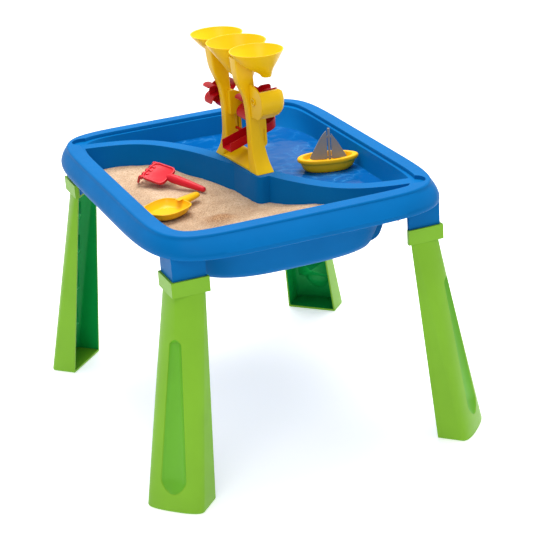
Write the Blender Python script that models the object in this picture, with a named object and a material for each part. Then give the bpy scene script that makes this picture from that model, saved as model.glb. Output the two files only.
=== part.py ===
"""A child's sand and water table: a blue twin-basin tray on four green legs, with a yellow funnel tower, red wheels,
a sand chute and three toys.

Metres, +Z up. The origin is on the floor under the tray's centre; X runs across the narrow side and Y along the
long side. The sand basin lies towards -X and the water basin towards +X.
"""

import math

import bmesh
import bpy
from mathutils import Matrix, Vector

# ---- driving dimensions ----
GAP = 0.0003  # clearance between pieces that touch
WALL = 0.0035  # moulded wall of the tray and the legs

# Tray: half sizes across X and Y, and the squareness of each outline
RIM_TOP = 0.532
RIM_BOTTOM = 0.491
SKIRT_FOOT = (0.3087, 0.3913, 5.6)
SKIRT_HEAD = (0.2917, 0.3632, 7.1)
RIM_INNER = (0.2596, 0.3324, 10.5)
LEDGE_TOP = 0.5245  # lid seat, and the top of the divider
LEDGE_WIDTH = 0.006
BASIN_FLOOR = 0.4010  # inside face of the basin floors
BASIN_FOOT = (0.226, 0.300, 3.4)
BASIN_WAIST = (0.240, 0.314, 3.8)
BASIN_WAIST_Z = 0.466
OUTLINE_POINTS = 56

# Divider: an S from the back-left corner to the front-right one, point-symmetric about the tray's centre
DIVIDER_HALF = [(0.0, 0.0), (0.033, -0.100), (0.062, -0.162), (0.100, -0.220), (0.142, -0.256), (0.192, -0.276),
                (0.262, -0.290)]
DIVIDER_TOP = 0.0145  # half widths
DIVIDER_FOOT = 0.026
FAR_SIDE = 0.6  # well past the tray

# Legs
CORNERS = [(-1, -1), (1, -1), (1, 1), (-1, 1)]
LEG_NAMES = ["leg_front_left", "leg_front_right", "leg_back_right", "leg_back_left"]
COLLAR_CORNER = (0.280, 0.348)
COLLAR = (0.0, 0.0750, 0.0830)  # corner blocks: outer inset, far end, and the sum that sets the diagonal cut
COLLAR_TOP = 0.447
COLLAR_BOTTOM = 0.417
BOSS = (0.0050, 0.0710, 0.0850)
BOSS_SEAT = (0.0045, 0.0715, 0.1300)
SOCKET = (0.0085, 0.0675, 0.0800)
SPIGOT = (0.0090, 0.0670, 0.0790)
SPIGOT_HOLLOW = (0.0120, 0.0640, 0.0750)
SOCKET_TOP = 0.480
SPIGOT_TOP = 0.457
FOOT_SPLAY = 0.0086
FOOT_PLATE = 0.005
FOOT_SECTION = {"mouth": -0.0076, "shoulder": 0.0410, "nose": 0.0594, "half": 0.0595, "square": 2.6}
HEAD_SECTION = {"mouth": -0.0530, "shoulder": -0.0470, "nose": -0.0115, "half": 0.0425, "square": 1.3}
GROOVE_Z = (0.040, 0.335)
GROOVE_HALF = (0.0250, 0.0105)
GROOVE_DEPTH = 0.008
RIB_LEVELS = (0.095, 0.185, 0.275, 0.360)
RIB_RISE = 0.036
RIB_REACH = 0.026

# Fillings and the water basin's drain
SAND_LEVEL = 0.474
WATER_LEVEL = 0.486
DRAIN_CORNER = math.radians(-38)  # where the spout leaves the wall, and which way it points
DRAIN_TURN = math.radians(-42)
DRAIN_Z = 0.441
SPOUT_R = 0.0110
SPOUT_REACH = 0.030
PLUG_R = 0.0075
PLUG_CAP_R = 0.0135

# Tower: its own frame stands on the divider, turned a little to follow it
TOWER_AT = (0.012, 0.0)
TOWER_TURN = math.radians(5.0)
PLATFORM_HALF = (0.026, 0.108)
BASE_HALF = (0.019, 0.0945)
BASE_RISE = 0.022
POST_Y = (0.046, 0.066)
POST_WAIST_Z = 0.600
FUNNEL_RIM_Z = 0.7775
FUNNEL_WALL = 0.0022
FUNNEL_PITCH = 0.0875
FUNNEL_SIDES = 24
OUTER_FUNNEL = [(0.7775, 0.000, 0.0535), (0.7735, 0.000, 0.0515), (0.7520, 0.004, 0.0350), (0.7390, 0.010, 0.0210),
                (0.7290, 0.018, 0.0105), (0.7210, 0.020, 0.0078)]
MIDDLE_FUNNEL = [(0.7775, 0.000, 0.0605), (0.7735, 0.000, 0.0585), (0.7320, 0.005, 0.0345), (0.7120, 0.010, 0.0245),
                 (0.6990, 0.018, 0.0130), (0.6900, 0.020, 0.0100)]

# Wheels: (x, y, z) of the hub centre in the tower's frame, radius and half width
AXLE_R = 0.0030
AXLE_FIT = 0.00035
SAND_WHEEL = {"at": (0.034, 0.0, 0.641), "r": 0.0400, "half": 0.026, "blades": 6}
FAR_WHEEL = {"at": (0.000, 0.090, 0.655), "r": 0.0360, "half": 0.019, "blades": 6}
NEAR_WHEEL = {"at": (0.0225, -0.082, 0.673), "r": 0.0295, "half": 0.0155, "blades": 6}
HUB_R = 0.0085
BLADE = 0.0022
CHEEK_Y = (0.0345, 0.0400)

# Chute: low end at -X, catch cup at +X
CHUTE_LOW = (-0.038, 0.5575)
CHUTE_HIGH = (0.074, 0.5900)
CHUTE_HALF = 0.0195
CHUTE_WALL = 0.0022
CHUTE_SIDE = 0.0180
CHUTE_PIN_R = 0.0030
CHUTE_PIN_AT = (0.0100, 0.5850)

# Boat: place and heading on the water, half length and half beam
RAKE_AT = (-0.077, 0.003)  # the handle's tip
RAKE_LIFT = 0.0056  # from the sand up to the handle's axis there
RAKE_TURN = (math.radians(-20), math.radians(-7.8), math.radians(121))  # rolled on one edge, head raised
SHOVEL_AT = (-0.1024, -0.0253)
SHOVEL_TURN = math.radians(209.6)
BOAT_AT = (0.181, -0.034)
BOAT_TURN = math.radians(-16)
BOAT_LONG = 0.066
BOAT_BEAM = 0.033

COLOURS = {
    "tray_blue": ((0.005, 0.170, 0.580), 0.35),
    "leg_green": ((0.270, 0.560, 0.050), 0.38),
    "tower_yellow": ((0.950, 0.640, 0.010), 0.33),
    "wheel_red": ((0.560, 0.010, 0.018), 0.33),
    "rake_red": ((0.750, 0.025, 0.045), 0.35),
    "toy_yellow": ((0.960, 0.560, 0.015), 0.35),
    "sail_grey": ((0.330, 0.345, 0.355), 0.45),
    "axle_steel": ((0.600, 0.600, 0.620), 0.30),
    "play_sand": ((0.640, 0.450, 0.260), 0.95),
    "water": ((0.030, 0.230, 0.560), 0.05),
}


# ---- shared tools ----
def clear_scene():
    for obj in list(bpy.data.objects):
        bpy.data.objects.remove(obj, do_unlink=True)


def material(name):
    mat = bpy.data.materials.get(name)
    if mat is None:
        colour, roughness = COLOURS[name]
        mat = bpy.data.materials.new(name)
        mat.use_nodes = True
        shader = mat.node_tree.nodes["Principled BSDF"]
        shader.inputs["Base Color"].default_value = (*colour, 1.0)
        shader.inputs["Roughness"].default_value = roughness
        shader.inputs["Metallic"].default_value = 1.0 if name == "axle_steel" else 0.0
    return mat


def mesh_object(name, bm, mat=None):
    """Closes a bmesh into an object; with no material it is a hidden cutter."""
    bmesh.ops.recalc_face_normals(bm, faces=bm.faces)
    mesh = bpy.data.meshes.new(name)
    bm.to_mesh(mesh)
    bm.free()
    obj = bpy.data.objects.new(name, mesh)
    bpy.context.scene.collection.objects.link(obj)
    if mat is None:
        obj.hide_render = True
        obj.display_type = "WIRE"
    else:
        mesh.materials.append(material(mat))
    return obj


def add_loft(bm, rings, twisted=False):
    """Skins a list of equal-length rings and caps both ends; twisted sides are split the same way everywhere."""
    layers = [[bm.verts.new(point) for point in ring] for ring in rings]
    for low, high in zip(layers, layers[1:]):
        for i in range(len(low)):
            j = (i + 1) % len(low)
            if twisted:
                bm.faces.new((low[i], low[j], high[j]))
                bm.faces.new((low[i], high[j], high[i]))
            else:
                bm.faces.new((low[i], low[j], high[j], high[i]))
    bm.faces.new(layers[0][::-1])
    bm.faces.new(layers[-1])


def loft(name, rings, mat=None, twisted=False):
    bm = bmesh.new()
    add_loft(bm, rings, twisted)
    return mesh_object(name, bm, mat)


def box(name, low, high, mat=None):
    corners = [(low[0], low[1]), (high[0], low[1]), (high[0], high[1]), (low[0], high[1])]
    return loft(name, [[(x, y, z) for x, y in corners] for z in (low[2], high[2])], mat)


def prism(name, outline, axis, low, high, mat=None):
    """Extrudes a 2D outline along X, Y or Z."""
    place = {"X": lambda p, h: (h, p[0], p[1]), "Y": lambda p, h: (p[0], h, p[1]), "Z": lambda p, h: (p[0], p[1], h)}
    return loft(name, [[place[axis](p, h) for p in outline] for h in (low, high)], mat)


def circle(radius, count, centre=(0.0, 0.0)):
    turn = [math.tau * i / count for i in range(count)]
    return [(centre[0] + radius * math.cos(a), centre[1] + radius * math.sin(a)) for a in turn]


def boolean(obj, other, operation="DIFFERENCE", solver="EXACT"):
    """Combines closed meshes and hides the one that was used."""
    other.hide_render = True
    other.display_type = "WIRE"
    modifier = obj.modifiers.new(operation.lower(), "BOOLEAN")
    modifier.operation = operation
    modifier.solver = solver
    modifier.object = other
    return obj


def shallow(obj, other, operation="DIFFERENCE"):
    """The same for the basins, whose drafted walls cross at too shallow an angle for the exact solver."""
    return boolean(obj, other, operation, "MANIFOLD")


def smooth(obj, angle=35.0):
    obj.data.shade_smooth()
    obj.data.set_sharp_from_angle(angle=math.radians(angle))


def place(objects, parent):
    for obj in objects:
        obj.parent = parent


def superellipse(half_x, half_y, power, z, count=OUTLINE_POINTS):
    """A squarish oval, its points spread so that the corners get their share."""
    ring = []
    for i in range(count):
        a = math.tau * (i + 0.5) / count
        c, s = math.cos(a), math.sin(a)
        reach = (abs(c) ** power + abs(s) ** power) ** (-1.0 / power)
        ring.append((half_x * reach * c, half_y * reach * s, z))
    return ring


def spline(points, per_span):
    """Catmull-Rom points through a list, ends included."""
    guide = [2 * Vector(points[0]) - Vector(points[1])] + [Vector(p) for p in points]
    guide.append(2 * Vector(points[-1]) - Vector(points[-2]))
    line = []
    for i in range(1, len(guide) - 2):
        p0, p1, p2, p3 = guide[i - 1:i + 3]
        for k in range(per_span):
            t = k / per_span
            line.append(0.5 * (2 * p1 + (p2 - p0) * t + (2 * p0 - 5 * p1 + 4 * p2 - p3) * t**2
                               + (3 * p1 - p0 - 3 * p2 + p3) * t**3))
    line.append(guide[-2].copy())
    return line


# ---- tray ----
def divider_line():
    """The S, evenly stepped, from beyond the back-left corner to beyond the front-right one."""
    back = [(-x, -y) for x, y in DIVIDER_HALF[:0:-1]]
    return spline(back + DIVIDER_HALF, 3)


def divider_side(name, side, grow, low, high):
    """Everything on one side of the divider, between two heights; grow moves its face away from the S.

    side is -1 for the sand basin and +1 for the water basin.
    """
    line = divider_line()
    rings = []
    for i, point in enumerate(line):
        along = (line[min(i + 1, len(line) - 1)] - line[max(i - 1, 0)]).normalized()
        across = Vector((-along.y, along.x)) * side
        slope = (DIVIDER_FOOT - DIVIDER_TOP) / (LEDGE_TOP - BASIN_FLOOR)
        ring = []
        for z, far in ((low, False), (high, False), (high, True), (low, True)):
            reach = DIVIDER_TOP + slope * (LEDGE_TOP - z) + grow
            foot = point + across * reach
            if far:
                foot = foot + Vector((side * FAR_SIDE, side * FAR_SIDE * 0.4))
            ring.append((foot.x, foot.y, z))
        rings.append(ring)
    return loft(name, rings, twisted=True)


def basin_section(z):
    """Half sizes and squareness of the basins' common outline at one height."""
    stages = [(BASIN_FLOOR, BASIN_FOOT), (BASIN_WAIST_Z, BASIN_WAIST),
              (LEDGE_TOP, (RIM_INNER[0] - LEDGE_WIDTH, RIM_INNER[1] - LEDGE_WIDTH, 9.0))]
    below, above = (stages[0], stages[1]) if z < BASIN_WAIST_Z else (stages[1], stages[2])
    t = (z - below[0]) / (above[0] - below[0])
    return [p + (q - p) * t for p, q in zip(below[1], above[1])]


def basin_loft(name, grow, low, high):
    """The outline of both basins together; grow pushes every wall outwards."""
    rings = []
    for z in (low, low + 0.010, BASIN_WAIST_Z, 0.492, high):
        a, b, n = basin_section(z)
        rings.append(superellipse(a + grow, b + grow, n, z))
    rings[0] = [(x * 0.955, y * 0.965, z) for x, y, z in rings[0]]
    return loft(name, rings, twisted=True)


def platform(name, grow, low, high):
    """Thickening of the divider under the tower, with draft."""
    rings = []
    for z in (low, high):
        draft = 0.010 * (LEDGE_TOP - z) / (LEDGE_TOP - BASIN_FLOOR)
        ring = superellipse(PLATFORM_HALF[0] + draft + grow, PLATFORM_HALF[1] + draft + grow, 7.0, z, 40)
        turn = Matrix.Rotation(TOWER_TURN, 3, "Z")
        rings.append([tuple(turn @ Vector(p) + Vector((*TOWER_AT, 0.0))) for p in ring])
    return loft(name, rings)


def basin_space(name, side, grow, low, high):
    """The space of one basin, or with grow the solid that wraps it."""
    space = basin_loft(name, grow, low, high)
    shallow(space, divider_side(name + "_side", side, -grow, low - 0.01, high + 0.01), "INTERSECT")
    shallow(space, platform(name + "_platform", -grow, low - 0.01, high + 0.01))
    return space


def corner_block(name, sx, sy, shape, low, high, mat=None):
    """A corner block with its inner side cut along the diagonal; shape is (inset, far end, diagonal sum)."""
    inset, reach, total = shape
    step = max(total - reach, inset + 0.0005)
    reach = min(reach, total - step)
    outline = [(inset, inset), (reach, inset), (reach, step), (step, reach), (inset, reach)]
    outline = [(sx * (COLLAR_CORNER[0] - u), sy * (COLLAR_CORNER[1] - v)) for u, v in outline]
    return prism(name, outline, "Z", low, high, mat)


def drain_rod(name, low, high, radii, mat=None):
    """A round bar along the drain, between two distances from the basin's inner wall."""
    a, b, n = basin_section(DRAIN_Z)
    c, s = math.cos(DRAIN_CORNER), math.sin(DRAIN_CORNER)
    reach = (abs(c) ** n + abs(s) ** n) ** (-1.0 / n)
    wall = Vector((a * reach * c, b * reach * s, DRAIN_Z))
    out = Vector((math.cos(DRAIN_TURN), math.sin(DRAIN_TURN), 0.0))
    aside = Vector((-out.y, out.x, 0.0))
    rings = []
    for distance, radius in zip((low, high), radii):
        centre = wall + out * distance
        rings.append([tuple(centre + aside * u + Vector((0.0, 0.0, v))) for u, v in circle(radius, 20)])
    return loft(name, rings, mat)


def make_tray():
    mid = tuple((p + q) / 2 for p, q in zip(SKIRT_FOOT, SKIRT_HEAD))
    tray = loft("tray", [
        superellipse(SKIRT_FOOT[0] - 0.010, SKIRT_FOOT[1] - 0.010, 5.6, RIM_BOTTOM),
        superellipse(SKIRT_FOOT[0] - 0.002, SKIRT_FOOT[1] - 0.002, 5.6, RIM_BOTTOM + 0.003),
        superellipse(*SKIRT_FOOT, RIM_BOTTOM + 0.009),
        superellipse(*mid, (RIM_BOTTOM + RIM_TOP) / 2 + 0.003),
        superellipse(SKIRT_HEAD[0] + 0.001, SKIRT_HEAD[1] + 0.001, 7.1, RIM_TOP - 0.003),
        superellipse(SKIRT_HEAD[0] - 0.003, SKIRT_HEAD[1] - 0.003, 7.1, RIM_TOP),
    ], "tray_blue")
    under = loft("tray_under", [
        superellipse(SKIRT_FOOT[0] - 0.014, SKIRT_FOOT[1] - 0.014, 5.6, RIM_BOTTOM - 0.01),
        superellipse(SKIRT_FOOT[0] - 0.010, SKIRT_FOOT[1] - 0.010, 5.6, RIM_BOTTOM + 0.009),
        superellipse(SKIRT_HEAD[0] - 0.006, SKIRT_HEAD[1] - 0.006, 7.1, LEDGE_TOP - WALL),
    ])
    shallow(tray, under)
    channel = loft("tray_channel", [
        superellipse(SKIRT_HEAD[0] - 0.006, SKIRT_HEAD[1] - 0.006, 7.1, z) for z in (LEDGE_TOP - 0.006, RIM_TOP - WALL)])
    shallow(channel, loft("tray_channel_core", [
        superellipse(RIM_INNER[0] + 0.003, RIM_INNER[1] + 0.003, 10.5, z) for z in (LEDGE_TOP - 0.02, RIM_TOP + 0.02)]))
    shallow(tray, channel)
    for side, name in ((-1, "sand"), (1, "water")):
        shallow(tray, basin_space(name + "_shell", side, WALL, BASIN_FLOOR - WALL, LEDGE_TOP - 0.001), "UNION")
    for sx, sy in CORNERS:
        boss = corner_block("boss", sx, sy, BOSS, COLLAR_BOTTOM + 0.005, LEDGE_TOP - 0.001)
        shallow(boss, loft("boss_limit", [
            superellipse(SKIRT_FOOT[0] + 0.0015, SKIRT_FOOT[1] + 0.0015, 5.6, COLLAR_BOTTOM - 0.01),
            superellipse(SKIRT_FOOT[0] + 0.0015, SKIRT_FOOT[1] + 0.0015, 5.6, RIM_BOTTOM + 0.004),
            superellipse(SKIRT_HEAD[0] - 0.004, SKIRT_HEAD[1] - 0.004, 7.1, LEDGE_TOP + 0.01)]), "INTERSECT")
        shallow(tray, boss, "UNION")
    shallow(tray, drain_rod("drain_spout", -0.012, SPOUT_REACH, (SPOUT_R, SPOUT_R)), "UNION")
    for side, name in ((-1, "sand"), (1, "water")):
        shallow(tray, basin_space(name + "_space", side, 0.0, BASIN_FLOOR, LEDGE_TOP + 0.02))
    shallow(tray, loft("lid_seat", [superellipse(*RIM_INNER, z) for z in (LEDGE_TOP, RIM_TOP + 0.02)]))
    for sx, sy in CORNERS:
        shallow(tray, corner_block("socket", sx, sy, SOCKET, COLLAR_BOTTOM, SOCKET_TOP))
    shallow(tray, drain_rod("drain_hole", -0.02, SPOUT_REACH + 0.01, (PLUG_R + GAP, PLUG_R + GAP)))
    smooth(tray)
    return tray


# ---- legs ----

def leg_section(z):
    t = z / COLLAR_BOTTOM
    return {key: FOOT_SECTION[key] + (HEAD_SECTION[key] - FOOT_SECTION[key]) * t for key in FOOT_SECTION}


def leg_point(sx, sy, out, aside, z):
    """World point from the distances along and across the leg's diagonal."""
    splay = FOOT_SPLAY * (1.0 - z / COLLAR_BOTTOM)
    half = math.sqrt(0.5)
    return (sx * (COLLAR_CORNER[0] + half * (out + aside) + splay),
            sy * (COLLAR_CORNER[1] + half * (out - aside) - splay), z)


def leg_ring(sx, sy, z, inset=0.0, mouth=0.0, arc=10):
    """The leg's outline at one height: straight cheeks, then a round nose."""
    s = leg_section(z)
    half, nose = s["half"] - inset, s["nose"] - inset
    points = [(s["mouth"] - mouth, -half)]
    for i in range(arc + 1):
        a = math.pi * (i / arc - 0.5)
        c, d = abs(math.cos(a)), math.sin(a)
        points.append((s["shoulder"] + (nose - s["shoulder"]) * c ** (2 / s["square"]),
                       half * math.copysign(abs(d) ** (2 / s["square"]), d)))
    points.append((s["mouth"] - mouth, half))
    return [leg_point(sx, sy, out, aside, z) for out, aside in points]


def groove(name, sx, sy, grow):
    """The long teardrop on the leg's nose: wide at its foot and narrow at its head."""
    rings = []
    steps = 8
    for i in range(steps + 1):
        t = 0.5 - 0.5 * math.cos(math.pi * i / steps)
        z = GROOVE_Z[0] - grow + (GROOVE_Z[1] - GROOVE_Z[0] + 2 * grow) * t
        end = min(1.0, math.sqrt(max(0.0, min((t + 0.004) / 0.10, (1.004 - t) / 0.05))))
        half = (GROOVE_HALF[0] + (GROOVE_HALF[1] - GROOVE_HALF[0]) * t + grow) * end
        nose = leg_section(z)["nose"]
        ring = []
        for b in range(12):
            a = math.tau * b / 12
            ring.append(leg_point(sx, sy, nose + 0.003 + (GROOVE_DEPTH + 0.003 + grow) * end * math.cos(a),
                                  half * math.sin(a), z))
        rings.append(ring)
    return loft(name, rings)


def rib(name, sx, sy, z):
    """A four-sided stiffening pyramid on the inner back of the leg."""
    rings = []
    for reach, scale in ((0.002, 1.02), (-RIB_REACH, 0.02)):
        ring = []
        for dz, aside in ((-1, -1), (-1, 1), (1, 1), (1, -1)):
            level = z + dz * RIB_RISE * scale
            s = leg_section(z)
            shift = (leg_section(level)["nose"] - s["nose"])
            ring.append(leg_point(sx, sy, s["nose"] - WALL + reach + shift, aside * s["half"] * scale, level))
        rings.append(ring)
    return loft(name, rings)


def make_leg(name, sx, sy):
    levels = [COLLAR_BOTTOM * i / 4 for i in range(4)] + [COLLAR_BOTTOM + 0.003]
    leg = loft(name, [leg_ring(sx, sy, z) for z in levels], "leg_green")
    inner = [FOOT_PLATE] + [COLLAR_BOTTOM * i / 4 for i in range(1, 4)] + [COLLAR_BOTTOM - 0.002]
    hollow = loft(name + "_hollow", [leg_ring(sx, sy, z, WALL, 0.03) for z in inner])
    boolean(hollow, groove(name + "_backing", sx, sy, WALL))
    for i, z in enumerate(RIB_LEVELS):
        boolean(hollow, rib(f"{name}_rib_{i}", sx, sy, z))
    boolean(leg, hollow)
    boolean(leg, groove(name + "_groove", sx, sy, 0.0))
    boolean(leg, corner_block(name + "_collar", sx, sy, COLLAR, COLLAR_BOTTOM, COLLAR_TOP), "UNION")
    boolean(leg, corner_block(name + "_seat", sx, sy, BOSS_SEAT, COLLAR_BOTTOM + 0.004, COLLAR_TOP + 0.01))
    boolean(leg, corner_block(name + "_spigot", sx, sy, SPIGOT, COLLAR_BOTTOM + 0.002, SPIGOT_TOP), "UNION")
    boolean(leg, corner_block(name + "_spigot_hollow", sx, sy, SPIGOT_HOLLOW, COLLAR_BOTTOM + 0.004, SPIGOT_TOP + 0.01))
    smooth(leg)
    return leg


# ---- fillings and drain ----

def filling(name, side, level, mat):
    """What fills one basin up to a level, a hair clear of its walls and floor."""
    space = basin_space(name, side, -GAP * 1.5, BASIN_FLOOR, LEDGE_TOP + 0.02)
    shallow(space, box(name + "_depth", (-FAR_SIDE, -FAR_SIDE, BASIN_FLOOR + GAP), (FAR_SIDE, FAR_SIDE, level)),
            "INTERSECT")
    space.hide_render = False
    space.display_type = "TEXTURED"
    space.data.materials.append(material(mat))
    return space


def make_fillings():
    filling("sand_fill", -1, SAND_LEVEL, "play_sand")
    filling("water_fill", 1, WATER_LEVEL, "water")


def make_plug():
    """Stepped stopper pushed into the drain spout, with a finger tab on its cap."""
    plug = drain_rod("drain_plug", 0.0060, SPOUT_REACH + 0.002, (PLUG_R - 0.0006, PLUG_R), "wheel_red")
    boolean(plug, drain_rod("plug_cap", SPOUT_REACH + GAP, SPOUT_REACH + 0.0050, (PLUG_CAP_R, PLUG_CAP_R - 0.001)),
            "UNION")
    boolean(plug, drain_rod("plug_tab", SPOUT_REACH + 0.0040, SPOUT_REACH + 0.0120, (0.0055, 0.0045)), "UNION")
    smooth(plug)
    return plug


# ---- tower ----
def funnel(name, stages, y, grow, mat=None):
    rings = [[(cx + (r + grow) * math.cos(a), y + (r + grow) * math.sin(a), z)
              for a in (math.tau * (i + 0.5) / FUNNEL_SIDES for i in range(FUNNEL_SIDES))] for z, cx, r in stages]
    return loft(name, rings, mat)


def funnel_spaces():
    """(name, stages, y) of the three funnels, near to far."""
    return [("near", OUTER_FUNNEL, -FUNNEL_PITCH), ("middle", MIDDLE_FUNNEL, 0.0), ("far", OUTER_FUNNEL, FUNNEL_PITCH)]


def stretched(stages, up, down):
    """The same funnel running past its mouth and its outlet."""
    top, bottom = stages[0], stages[-1]
    return [(top[0] + up, top[1], top[2] + up * 0.5), *stages[1:-1], (bottom[0] - down, bottom[1], bottom[2])]


def make_funnel_head():
    """Three funnels in one moulding; each keeps its whole rim on the side of the farther one."""
    spaces = funnel_spaces()
    head = funnel("funnel_head", spaces[1][1], spaces[1][2], 0.0, "tower_yellow")
    for name, stages, y in (spaces[0], spaces[2]):
        boolean(head, funnel(name + "_funnel", stages, y, 0.0), "UNION")
    for i, (name, stages, y) in enumerate(spaces):
        cup = funnel(name + "_cup", stretched(stages, 0.004, 0.004), y, -FUNNEL_WALL)
        if i:
            nearer = spaces[i - 1]
            wall = funnel(name + "_wall", [(FUNNEL_RIM_Z + 0.02, 0.0, nearer[1][0][2] + 0.010), *nearer[1]],
                          nearer[2], 0.0)
            boolean(cup, wall)
        boolean(head, cup)
    smooth(head)
    return head


def post(name, side):
    """One upright: a tall blade, waisted, flared at the foot and leaning out towards -X at the head."""
    inner, outer = POST_Y
    levels = [(LEDGE_TOP + GAP, -0.0200, 0.0190, outer - 0.0060, 0.0945),
              (0.545, -0.0168, 0.0172, inner + 0.004, 0.0800),
              (0.568, -0.0145, 0.0158, inner, 0.0705),
              (POST_WAIST_Z, -0.0140, 0.0110, inner, outer),
              (0.640, -0.0145, 0.0062, inner, outer),
              (0.675, -0.0185, 0.0035, inner, outer),
              (0.705, -0.0300, 0.0020, inner - 0.002, outer),
              (0.725, -0.0350, 0.0000, inner - 0.004, outer + 0.002),
              (0.762, -0.0380, -0.0020, inner - 0.006, outer + 0.004)]
    rings = []
    for z, x0, x1, y0, y1 in levels:
        soft = 0.003
        ring = [(x0 + soft, y0), (x1 - soft, y0), (x1, y0 + soft), (x1, y1 - soft), (x1 - soft, y1), (x0 + soft, y1),
                (x0, y1 - soft), (x0, y0 + soft)]
        rings.append([(x, side * y, z) for x, y in ring])
    return loft(name, rings)


def make_tower_frame():
    """Base wedge and two uprights in one moulding, with the cheeks that carry the sand wheel's pin."""
    low = LEDGE_TOP + GAP
    profile = [(-BASE_HALF[0], low), (BASE_HALF[0] - 0.002, low), (BASE_HALF[0] - 0.002, low + BASE_RISE),
               (BASE_HALF[0] - 0.007, low + BASE_RISE), (-BASE_HALF[0], low + 0.004)]
    frame = prism("tower_frame", profile, "Y", -0.0700, 0.0700, "tower_yellow")
    hollow = [(-BASE_HALF[0] + 0.010, low - 0.01), (BASE_HALF[0] - 0.005, low - 0.01),
              (BASE_HALF[0] - 0.005, low + BASE_RISE - 0.008), (-BASE_HALF[0] + 0.010, low + 0.003)]
    for side, name in ((-1, "near"), (1, "far")):
        boolean(frame, post(name + "_post", side), "UNION")
        pocket_y = sorted((side * (POST_Y[0] + 0.001), side * (POST_Y[1] - 0.001)))
        boolean(frame, box(name + "_pocket", (0.0, pocket_y[0], 0.572), (0.0190, pocket_y[1], 0.636)), "UNION")
        cheek = [(-0.006, 0.618), (0.020, 0.618), (0.0430, 0.634), (0.0430, 0.648), (0.034, 0.6545), (0.004, 0.668),
                 (-0.006, 0.668)]
        cheek_y = sorted((side * CHEEK_Y[0], side * (POST_Y[0] + 0.003)))
        boolean(frame, prism(name + "_cheek", cheek, "Y", *cheek_y), "UNION")
    boolean(frame, prism("base_hollow", hollow, "Y", -0.0420, 0.0420))
    x, _, z = SAND_WHEEL["at"]
    boolean(frame, prism("sand_pin_hole", circle(AXLE_R + GAP, 20, (x, z)), "Y", -0.060, 0.060))
    x, _, z = FAR_WHEEL["at"]
    boolean(frame, prism("far_pin_hole", circle(AXLE_R + GAP, 20, (x, z)), "Y", 0.0560, 0.080))
    for name, stages, y in funnel_spaces():
        boolean(frame, funnel(name + "_clear", stretched(stages, 0.02, 0.001), y, GAP * 2))
    for side in (-1, 1):
        lug_y = sorted((side * 0.040, side * 0.055))
        lug = [(x, z) for x, z in circle(CHUTE_PIN_R + GAP, 16, CHUTE_PIN_AT)]
        boolean(frame, prism("chute_socket", lug, "Y", *lug_y))
    smooth(frame, 30)
    return frame


# ---- wheels ----
def wheel_mesh(name, radius, half, blades, mat):
    """A hub with curved cup blades, its axis along local Z."""
    wheel = loft(name, [[(x, y, z) for x, y in circle(HUB_R, 16)] for z in (-half, half)], mat)
    for k in range(blades):
        lean = math.tau * k / blades
        inner_side, outer_side = [], []
        steps = 4
        for i in range(steps + 1):
            t = i / steps
            reach = HUB_R * 0.6 + (radius - HUB_R * 0.6) * t
            angle = lean + 0.62 * t * t
            point = Vector((math.cos(angle), math.sin(angle))) * reach
            across = Vector((-math.sin(angle + 0.5 * t), math.cos(angle + 0.5 * t))) * BLADE / 2
            inner_side.append(point - across)
            outer_side.append(point + across)
        outline = inner_side + outer_side[::-1]
        blade = prism(f"{name}_blade_{k}", outline, "Z", -half + 0.001, half - 0.001)
        place([blade], wheel)
        boolean(wheel, blade, "UNION")
    disc = prism(name + "_disc", circle(radius * 0.72, 24), "Z", -BLADE / 2, BLADE / 2)
    bore = prism(name + "_bore", circle(AXLE_R + AXLE_FIT / 2, 16), "Z", -half - 0.01, half + 0.01)
    place([disc, bore], wheel)
    boolean(wheel, disc, "UNION")
    boolean(wheel, bore)
    smooth(wheel, 30)
    return wheel


def stand(obj, centre, axis):
    """Puts an object's local Z along the tower's X or Y at a point."""
    obj.location = centre
    obj.rotation_euler = (math.pi / 2, 0.0, 0.0) if axis == "Y" else (0.0, math.pi / 2, 0.0)


def make_pin(name, wheel, axis, low, high):
    """A plain steel pin through a wheel, from low to high along its axis."""
    pin = loft(name, [[(x, y, z) for x, y in circle(AXLE_R - AXLE_FIT / 2, 16)] for z in (low, high)], "axle_steel")
    stand(pin, wheel["at"], axis)
    smooth(pin)
    return pin


def make_wheels(tower):
    sand = wheel_mesh("sand_wheel", SAND_WHEEL["r"], SAND_WHEEL["half"], SAND_WHEEL["blades"], "wheel_red")
    stand(sand, SAND_WHEEL["at"], "Y")
    sand_pin = make_pin("sand_wheel_pin", SAND_WHEEL, "Y", -CHEEK_Y[1] - 0.006, CHEEK_Y[1] + 0.006)
    far = wheel_mesh("far_water_wheel", FAR_WHEEL["r"], FAR_WHEEL["half"], FAR_WHEEL["blades"], "wheel_red")
    stand(far, FAR_WHEEL["at"], "Y")
    far_pin = loft("far_wheel_pin", [[(x, y, z) for x, y in circle(r, 16)] for z, r in (
        (-0.0240, 0.0055), (-0.0215, 0.0055), (-0.0215, AXLE_R - AXLE_FIT / 2), (0.0330, AXLE_R - AXLE_FIT / 2))],
        "axle_steel")
    stand(far_pin, FAR_WHEEL["at"], "Y")
    near = wheel_mesh("near_water_wheel", NEAR_WHEEL["r"], NEAR_WHEEL["half"], NEAR_WHEEL["blades"], "wheel_red")
    stand(near, NEAR_WHEEL["at"], "X")
    near_pin = make_pin("near_wheel_pin", NEAR_WHEEL, "X", -0.0300, 0.0195)
    pieces = [sand, sand_pin, far, far_pin, near, near_pin]
    place(pieces, tower)
    return pieces


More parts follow.
